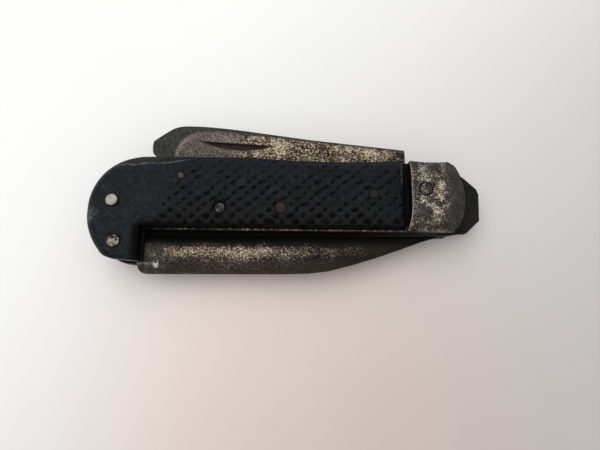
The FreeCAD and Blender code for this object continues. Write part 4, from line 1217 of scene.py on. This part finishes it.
def spike_rings(low, high, outline):
    """Rings across the spike from its lobe to its tip: flat-sided at the root and oval along the bar."""
    fine_end = low.x + SPIKE_FINE_LENGTH
    stations = np.concatenate([
        np.arange(low.x + SECTION_LIFT, fine_end, SPIKE_FINE_STEP),
        np.arange(fine_end, high.x - SECTION_LIFT, SPIKE_STEP),
        [high.x - SECTION_LIFT],
    ])
    spans = np.array([crossing(outline, x) for x in stations])
    heights = spans[:, 1] - spans[:, 0]
    butt_x = stations[np.argmax(heights > BUTT_SHARE * heights.max())]
    middle = (low.z + high.z) / 2
    thick = (high.z - low.z) / 2
    corners = [vert.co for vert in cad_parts["marlin_spike"].data.vertices]
    flat = max(place.z for place in corners if place.x < EAR_WALL_X) - middle
    flat_end_x = section("marlin_spike", middle + flat + SECTION_LIFT)[0][:, 0].min()
    turns = np.linspace(0, 2 * math.pi, SPIKE_POINTS, endpoint=False)
    rings = []
    for x, (y_low, y_high) in zip(stations, spans):
        half = (y_high - y_low) / 2
        oval = half * thick / (heights.max() / 2) if x >= butt_x else flat * LOBE_FULLNESS_SHARE
        limit = between((flat, FREE_SHARE * thick), smooth((x - flat_end_x) / FLAT_RAMP))
        ys = (y_low + y_high) / 2 + half * np.cos(turns)
        zs = middle + soft_limit(oval * np.sin(turns), limit)
        rings.append(np.column_stack([np.full(SPIKE_POINTS, x), ys, zs]))
    return rings


def bore(piece, line, low_z, high_z):
    """Cuts a round hole along a line through a piece."""
    rings = [np.column_stack([line, np.full(len(line), z)]) for z in (low_z - MM, high_z + MM)]
    cutter = add_object("bore", new_mesh("bore", *loft(rings)))
    modifier = piece.modifiers.new("bore", "BOOLEAN")
    modifier.object = cutter
    modifier.solver = "EXACT"
    graph = bpy.context.evaluated_depsgraph_get()
    bored = bpy.data.meshes.new_from_object(piece.evaluated_get(graph))
    piece.modifiers.clear()
    piece.data = bored
    bored.set_sharp_from_angle(angle=SMOOTH_ANGLE)
    bpy.data.objects.remove(cutter)


def make_spike(material):
    """The marlin spike: an oval tapered bar with a flat root and a lobe for its rivet."""
    low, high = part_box("marlin_spike")
    outline, hole = section("marlin_spike", (low.z + high.z) / 2)[:2]
    mesh = loft(spike_rings(low, high, outline))
    piece = add_piece("marlin_spike_pitted", *mesh, "spike", material, "spike_steel", ["marlin_spike"])
    hole = even(hole, EDGE_SPACING)
    bore(piece, hole if signed_area(hole) > 0 else hole[::-1], low.z, high.z)


def turned(node, end, wobble=0.0, seed=0.0):
    """Corners and faces of a round piece from the (radius, height) pairs of its ends, uneven by a share."""
    low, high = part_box(node)
    centre = (low + high) / 2
    profile = [(reach, low.z + height) for reach, height in end]
    profile += [(reach, high.z - height) for reach, height in reversed(end)]
    turns = np.linspace(0, 2 * math.pi, TURNED_POINTS, endpoint=False)
    uneven = sum(share * np.sin(waves * turns + shift * seed) for share, waves, shift in WOBBLE_SHARES)
    rings = []
    for radius, height in profile:
        reach = radius * (1 + wobble * (uneven - 1))
        x = centre[0] + reach * np.cos(turns)
        y = centre[1] + reach * np.sin(turns)
        rings.append(np.column_stack([x, y, np.full(TURNED_POINTS, height)]))
    return loft(rings)


def centre_of(node):
    """The middle of a CAD node's box and half its width."""
    low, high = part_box(node)
    return (low + high) / 2, (high.x - low.x) / 2


def make_pin(node, material, slot):
    """A pin with softened, slightly crowned ends."""
    radius = centre_of(node)[1]
    end = [(reach * radius, height * PIN_CROWN) for reach, height in PIN_END_SHARES]
    end += [(radius - PIN_CHAMFER, PIN_CROWN), (radius, PIN_CROWN + PIN_CHAMFER)]
    add_piece(f"{node}_peened", *turned(node, end), "handle", material, slot, [node])


def make_rivet(node, material, seed):
    """A rivet with a low hammered head on each side."""
    centre, radius = centre_of(node)
    shank = np.hypot(*(section(node, centre.z)[0] - np.array(centre[:2])).T).mean()
    end = [(reach * radius, height * HEAD_HEIGHT) for reach, height in HEAD_SHARES]
    mesh = turned(node, end + [(shank, HEAD_HEIGHT)], HEAD_WOBBLE_SHARE, seed)
    add_piece(f"{node}_hammered", *mesh, "handle", material, "rivet_steel", [node])


def make_plate(node, body, material, slot):
    """A CAD plate with its sharp edges softened."""
    mesh = welded(node)
    bmesh.ops.dissolve_limit(mesh, angle_limit=FLAT_ANGLE, verts=mesh.verts[:], edges=mesh.edges[:])
    sharp = [edge for edge in mesh.edges if edge.is_manifold and edge.calc_face_angle() > SHARP_ANGLE]
    bmesh.ops.bevel(mesh, geom=sharp, offset=SOFT_EDGE, segments=SOFT_STEPS, profile=0.5, affect="EDGES")
    bmesh.ops.triangulate(mesh, faces=[face for face in mesh.faces if len(face.verts) > 4])
    corners = np.array([vert.co[:] for vert in mesh.verts])
    mesh.verts.index_update()
    faces = [[vert.index for vert in face.verts] for face in mesh.faces]
    mesh.free()
    add_piece(f"{node}_softened", corners, faces, body, material, slot, [node])


def make_knife():
    """Every piece of the knife in its material."""
    make_scales(scale_plastic())
    bolster = bolster_steel()
    make_bolsters(bolster)
    blade = blade_steel()
    make_blade(blade)
    make_spike(spike_steel())
    liner = liner_steel()
    for node in ("near_liner", "far_liner", "centre_liner"):
        make_plate(node, "handle", liner, "liner_steel")
    spring = spring_steel()
    for node in ("blade_spring", "driver_spring"):
        make_plate(node, "handle", spring, "spring_steel")
    make_plate("tin_opener", "opener", blade, "blade_steel")
    for node, (name, spots, seed) in RIVETS.items():
        make_rivet(node, rivet_steel(name, spots), seed)
    make_pin("blade_pivot_pin", bolster, "bolster_steel")
    for node, (name, slot, *looks) in PINS.items():
        nodes = [f"{side}_{node}" for side in ("near", "far")] if node.endswith("scale_pin") else [node]
        metal = tarnished(name, nodes[0], *looks)
        for pin in nodes:
            make_pin(pin, metal, slot)


def make_floor():
    """A plain pale floor under the knife."""
    ways = ((-1, -1), (1, -1), (1, 1), (-1, 1))
    corners = [(x * FLOOR_REACH, y * FLOOR_REACH, -FLOOR_DROP) for x, y in ways]
    mesh = new_mesh("floor", corners, [(0, 1, 2, 3)])
    mesh.materials.append(paper_floor())
    floor = add_object("floor", mesh)


def make_lamp():
    """A large soft lamp up and left, that faces the knife."""
    lamp = bpy.data.lights.new("key", "AREA")
    lamp.size = KEY_WIDTH
    lamp.energy = KEY_POWER
    lamp.color = KEY_COLOUR
    holder = add_object("key", lamp)
    holder.location = KEY_PLACE
    holder.rotation_euler = (-Vector(KEY_PLACE)).to_track_quat("-Z", "Y").to_euler()


def make_sky():
    """A pale sky that is brighter and cooler behind the knife."""
    world = bpy.data.worlds.new("studio")
    world.use_nodes = True
    tree = world.node_tree
    background = tree.nodes["Background"]
    direction = tree.nodes.new("ShaderNodeTexCoord").outputs["Generated"]
    split = tree.nodes.new("ShaderNodeSeparateXYZ")
    tree.links.new(direction, split.inputs[0])
    ramp = tree.nodes.new("ShaderNodeValToRGB")
    shift = tree.nodes.new("ShaderNodeMapRange")
    shift.inputs[1].default_value = -1
    tree.links.new(split.outputs[1], shift.inputs[0])
    tree.links.new(shift.outputs[0], ramp.inputs[0])
    for element, colour in zip(ramp.color_ramp.elements, (SKY_FRONT, SKY_BACK)):
        element.color = colour
    tree.links.new(ramp.outputs[0], background.inputs["Color"])
    background.inputs["Strength"].default_value = 1
    bpy.context.scene.world = world


def make_camera():
    """The photograph's camera, above the knife and tilted up the picture."""
    camera = bpy.data.cameras.new("camera")
    camera.sensor_width = SENSOR_WIDTH_MM
    camera.lens = SENSOR_WIDTH_MM * FOCAL_LENGTH_PX / PHOTO_WIDTH_PX
    camera.clip_start = MM
    holder = add_object("camera", camera)
    holder.location = CAMERA_PLACE
    holder.rotation_euler = (CAMERA_TILT, 0, 0)
    bpy.context.scene.camera = holder


make_camera()
make_knife()
make_floor()
make_sky()
make_lamp()
bpy.context.scene.view_settings.view_transform = "Standard"
